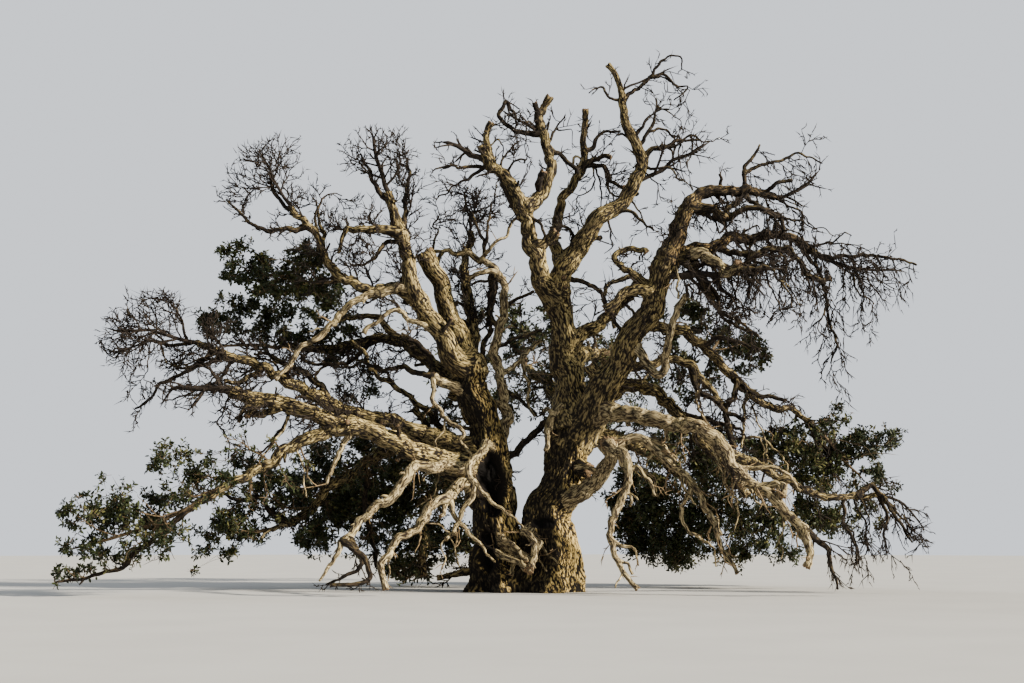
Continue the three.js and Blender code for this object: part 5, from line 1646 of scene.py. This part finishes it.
# The clouds of a mass: two in depth for each that the table has, or a ring of them where it has none.
def cloudsOf(mass, random):
    name, _, centre, half, _ = mass
    clouds = []
    for x, z, radius in leafClouds.get(name, []):
        off = np.array([(x - centre[0]) / half[0], (z - centre[2]) / half[2]])
        room = math.sqrt(max(0.1, 1 - float(off @ off)))
        for _ in range(2):
            depth = (random.random() * 2 - 1) * cloudRule["depthShare"] + cloudRule["behind"]
            shift = (random.random(2) - 0.5) * cloudRule["shift"] * radius
            wide = radius * widerClouds.get(name, 1) * vary(cloudRule["sizeVary"], random.random())
            clouds.append((x + shift[0], centre[1] + depth * room * half[1], z + shift[1], wide))
    for _ in range(0 if clouds else cloudRule["backClouds"]):
        way = unit(random.normal(size=3)) * vary(cloudRule["backVary"], random.random() ** 0.5)
        low, high = cloudRule["backRadius"]
        clouds.append((*(np.array(centre) + way * np.array(half)),
                       low + (high - low) * random.random()))
    return np.array(clouds)


def growLeafTwigs(batches, random):
    leaders, branchlets = [], []
    limbWood = limbSamples()
    for index, mass in enumerate(leafyMasses):
        own = [pick(twigs, twigs["mass"] == index) for twigs in batches]
        wood = joinSamples([woodSamples(own), limbWood])
        clouds = cloudsOf(mass, random)
        order = np.argsort(np.linalg.norm(clouds[:, :3] - own[0]["start"][0], axis=1))
        clouds = clouds[order]
        for group in np.array_split(np.arange(len(clouds)), cloudRule["steps"]):
            step = reachOut(clouds[group, :3], index, wood, cloudRule["leader"], random)
            leaders.append(step)
            wood = joinSamples([wood, woodSamples([step])])
        counts = cloudRule["branchlets"] * (clouds[:, 3] / cloudRule["perRadius"]) ** 2
        counts = np.round(counts).astype(int) + cloudRule["least"]
        home = np.repeat(np.arange(len(clouds)), counts)
        inside = unit(random.normal(size=(len(home), 3)))
        inside *= random.random((len(home), 1)) ** cloudRule["deepPower"]
        inside *= clouds[home, 3:] * np.array([1, 1.1, cloudRule["flat"]])
        inside *= vary(cloudRule["stray"], random.random((len(home), 1)) ** 2)
        targets = clouds[home, :3] + inside
        clumps = softNoise(targets / cloudRule["gapSize"], 37)
        kept = clumps > np.quantile(clumps, cloudGaps.get(mass[0], cloudRule["gapShare"]))
        targets = np.clip(targets[kept], roomLow + cloudRule["edge"], roomHigh - cloudRule["edge"])
        branchlets.append(reachOut(targets, index, wood, cloudRule["branchlet"], random))
    return gather(leaders), gather(branchlets)


# Each order of twigs as tubes: how many steps and sides, and the tip's share of the radius.
tubeRule = {"stems": (6, 6, 0.5), "firsts": (5, 4, 0.45), "seconds": (4, 3, 0.5),
            "onLimbs": (4, 3, 0.5), "thirds": (3, 3, 0.55), "fourths": (2, 3, 0.6),
            "fifths": (1, 3, 0.4), "leaders": (4, 3, 0.5), "branchlets": (2, 3, 0.6),
            "sprays": (1, 3, 0.5)}


def growTwigs(random):
    stems, firsts, seconds = growMasses()
    onLimbs = shootsAlongLimbs()
    leaders, branchlets = growLeafTwigs([stems, firsts, seconds], random)
    bare = [pick(twigs, ~twigs["leafy"]) for twigs in (stems, firsts, seconds, onLimbs)]
    leafyShoots = pick(onLimbs, onLimbs["leafy"])
    thirds = finerShoots(gather(bare + [leafyShoots]), finerRules[0], random)
    carried = gather([bare[2], bare[3], leafyShoots, thirds])
    fourths = finerShoots(pick(carried, ~carried["pale"]), finerRules[1], random)
    fifths = finerShoots(pick(fourths, ~fourths["leafy"]), finerRules[2], random)
    sprays = finerShoots(branchlets, sprayRule, random)
    grown = {"stems": stems, "firsts": firsts, "seconds": seconds, "onLimbs": onLimbs,
             "thirds": thirds, "fourths": fourths, "fifths": fifths, "leaders": leaders,
             "branchlets": branchlets, "sprays": sprays}
    print("twigs:", {name: len(twigs["length"]) for name, twigs in grown.items()})
    return grown


# The pieces of twigs: between which places from west to east they start, and their wood.
bareNames = [mass[0] for mass in bareMasses]
leafyNames = [mass[0] for mass in leafyMasses]
twigPieces = {
    "bare_twigs_west": {"from": -99, "to": -3, "wood": "twigBark"},
    "bare_twigs_crown": {"from": -3, "to": 4, "wood": "twigBark"},
    "bare_twigs_east": {"from": 4, "to": 99, "wood": "twigBark"},
    "pale_twigs": {"from": -99, "to": 99, "wood": "paleTwigs"},
    "leafy_twigs": {"from": -99, "to": 99, "wood": "greyTwigs"},
}


def twigsOf(name, twigs):
    look = twigPieces[name]
    if name == "leafy_twigs":
        return twigs["leafy"]
    pale = twigs["pale"] == (name == "pale_twigs")
    along = twigs["start"][:, 0]
    return ~twigs["leafy"] & pale & (along >= look["from"]) & (along < look["to"])


def makeTwigPieces(grown):
    for name, look in twigPieces.items():
        parts = []
        for order, (steps, sides, tipShare) in tubeRule.items():
            rows = twigsOf(name, grown[order])
            if rows.any():
                parts.append(twigTubes(pick(grown[order], rows), steps, sides, tipShare))
        points, faces = joinMeshes(parts)
        points[:, 2] = np.maximum(points[:, 2], lowestPoint)
        piece = addPiece(name, points, [faces], [woods[look["wood"]]])
        if name == "leafy_twigs":
            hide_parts(*leafyNames)
        elif name != "pale_twigs":
            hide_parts(*bareNames)
        print(name, "triangles:", len(faces))


# Which leaves have which colour, by the number that their spray was dealt and by soft patches.
leafDeal = {"patchSize": 1.6, "patchShare": 0.35, "divide": -1,
            "edges": {"darkLeaves": (-9, 0.5), "greenLeaves": (0.5, 0.9),
                      "oliveLeaves": (0.9, 9)}}


def makeLeafPieces(grown, random):
    leafyFourths = pick(grown["fourths"], grown["fourths"]["leafy"])
    carriers = gather([grown["branchlets"], grown["sprays"], leafyFourths])
    living = softNoise(carriers["tip"] / cloudRule["deadSize"], 53)
    carriers = pick(carriers, living > np.quantile(living, cloudRule["deadShare"]))
    points, dealt, base = leavesOn(carriers, random)
    patches = softNoise(base / leafDeal["patchSize"], 81) * leafDeal["patchShare"] + dealt
    each = len(leafRule["outline"])
    atWest = base[:, 0] < leafDeal["divide"]
    for side, onSide in (("West", atWest), ("East", ~atWest)):
        for name, (low, high) in leafDeal["edges"].items():
            rows = points[(patches >= low) & (patches < high) & onSide]
            faces = np.array(leafRule["faces"])[None] + np.arange(len(rows))[:, None, None] * each
            rows = rows.reshape(-1, 3)
            rows[:, 2] = np.maximum(rows[:, 2], lowestPoint)
            piece = addPiece(name + side, rows, [faces.reshape(-1, 4)], [leafMaterials[name]])
            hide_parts(*leafyNames)
            print(name + side, "triangles:", len(faces) * 4)


def growCrown():
    random = np.random.default_rng(4211)
    grown = growTwigs(random)
    makeTwigPieces(grown)
    makeLeafPieces(grown, random)


growCrown()

# Plain pale floor, soft studio light, and the camera at the photograph's place.
studio = {"floorRadius": 90, "floorCorners": 96, "floor": tone(196, 196, 193),
          "mottle": (0.4, 3, 0.5), "mottleEdge": (0.3, 0.7), "mottleTones": (0.97, 1.03),
          "backdrop": tone(214, 219, 226), "backdropLight": 1.5, "fill": 0.58}
suns = {"keyLight": {"energy": 10.5, "color": (1.0, 0.9, 0.74), "softness": 4,
                     "from": (0.9, -0.38, 0.46)},
        "backLight": {"energy": 0.9, "color": (0.86, 0.93, 1.0), "softness": 25,
                      "from": (-0.62, 0.6, 0.5)}}
view = {"place": (-0.84, -45, 1.6), "tilt": 7.15, "lens": 54.4, "sensor": 36, "farthest": 500}


def makeFloor():
    corners = studio["floorCorners"]
    angles = np.arange(corners) * 2 * math.pi / corners
    points = np.column_stack([np.cos(angles), np.sin(angles), np.zeros(corners)])
    mesh = bpy.data.meshes.new("floor")
    mesh.from_pydata((points * studio["floorRadius"]).tolist(), [], [list(range(corners))])
    floor = putInScene("floor", mesh)
    material, tree, shader = startMaterial("floorPaint", 0.9)
    shade = remap(tree, objectNoise(tree, *studio["mottle"]), *studio["mottleEdge"],
                  *studio["mottleTones"])
    color = blendColors(tree, 1.0, studio["floor"], shade, "MULTIPLY")
    feed(tree, shader.inputs["Base Color"], color)
    mesh.materials.append(material)


def hangSun(name, look):
    light = bpy.data.lights.new(name, "SUN")
    light.energy = look["energy"]
    light.color = look["color"]
    light.angle = math.radians(look["softness"])
    x, y, z = look["from"]
    turn = (math.atan2(math.hypot(x, y), z), 0, math.atan2(y, x) + math.pi / 2)
    putInScene(name, light).rotation_euler = turn


def makeLight():
    scene = bpy.context.scene
    scene.world = bpy.data.worlds.new("studio")
    scene.world.use_nodes = True
    tree = scene.world.node_tree
    background = tree.nodes["Background"]
    background.inputs["Color"].default_value = studio["backdrop"]
    path = tree.nodes.new("ShaderNodeLightPath")
    strength = remap(tree, path.outputs["Is Camera Ray"], 0.0, 1.0, studio["fill"],
                     studio["backdropLight"])
    tree.links.new(strength, background.inputs["Strength"])
    for name, look in suns.items():
        hangSun(name, look)


def makeCamera():
    camera = bpy.data.cameras.new("camera")
    camera.lens = view["lens"]
    camera.sensor_width = view["sensor"]
    camera.clip_end = view["farthest"]
    holder = putInScene("camera", camera)
    holder.location = view["place"]
    holder.rotation_euler = (math.radians(90 + view["tilt"]), 0, 0)
    bpy.context.scene.camera = holder


makeFloor()
makeLight()
makeCamera()
bpy.context.view_layer.update()
print("box, cad:", [tuple(round(v, 2) for v in c) for c in cadBox])
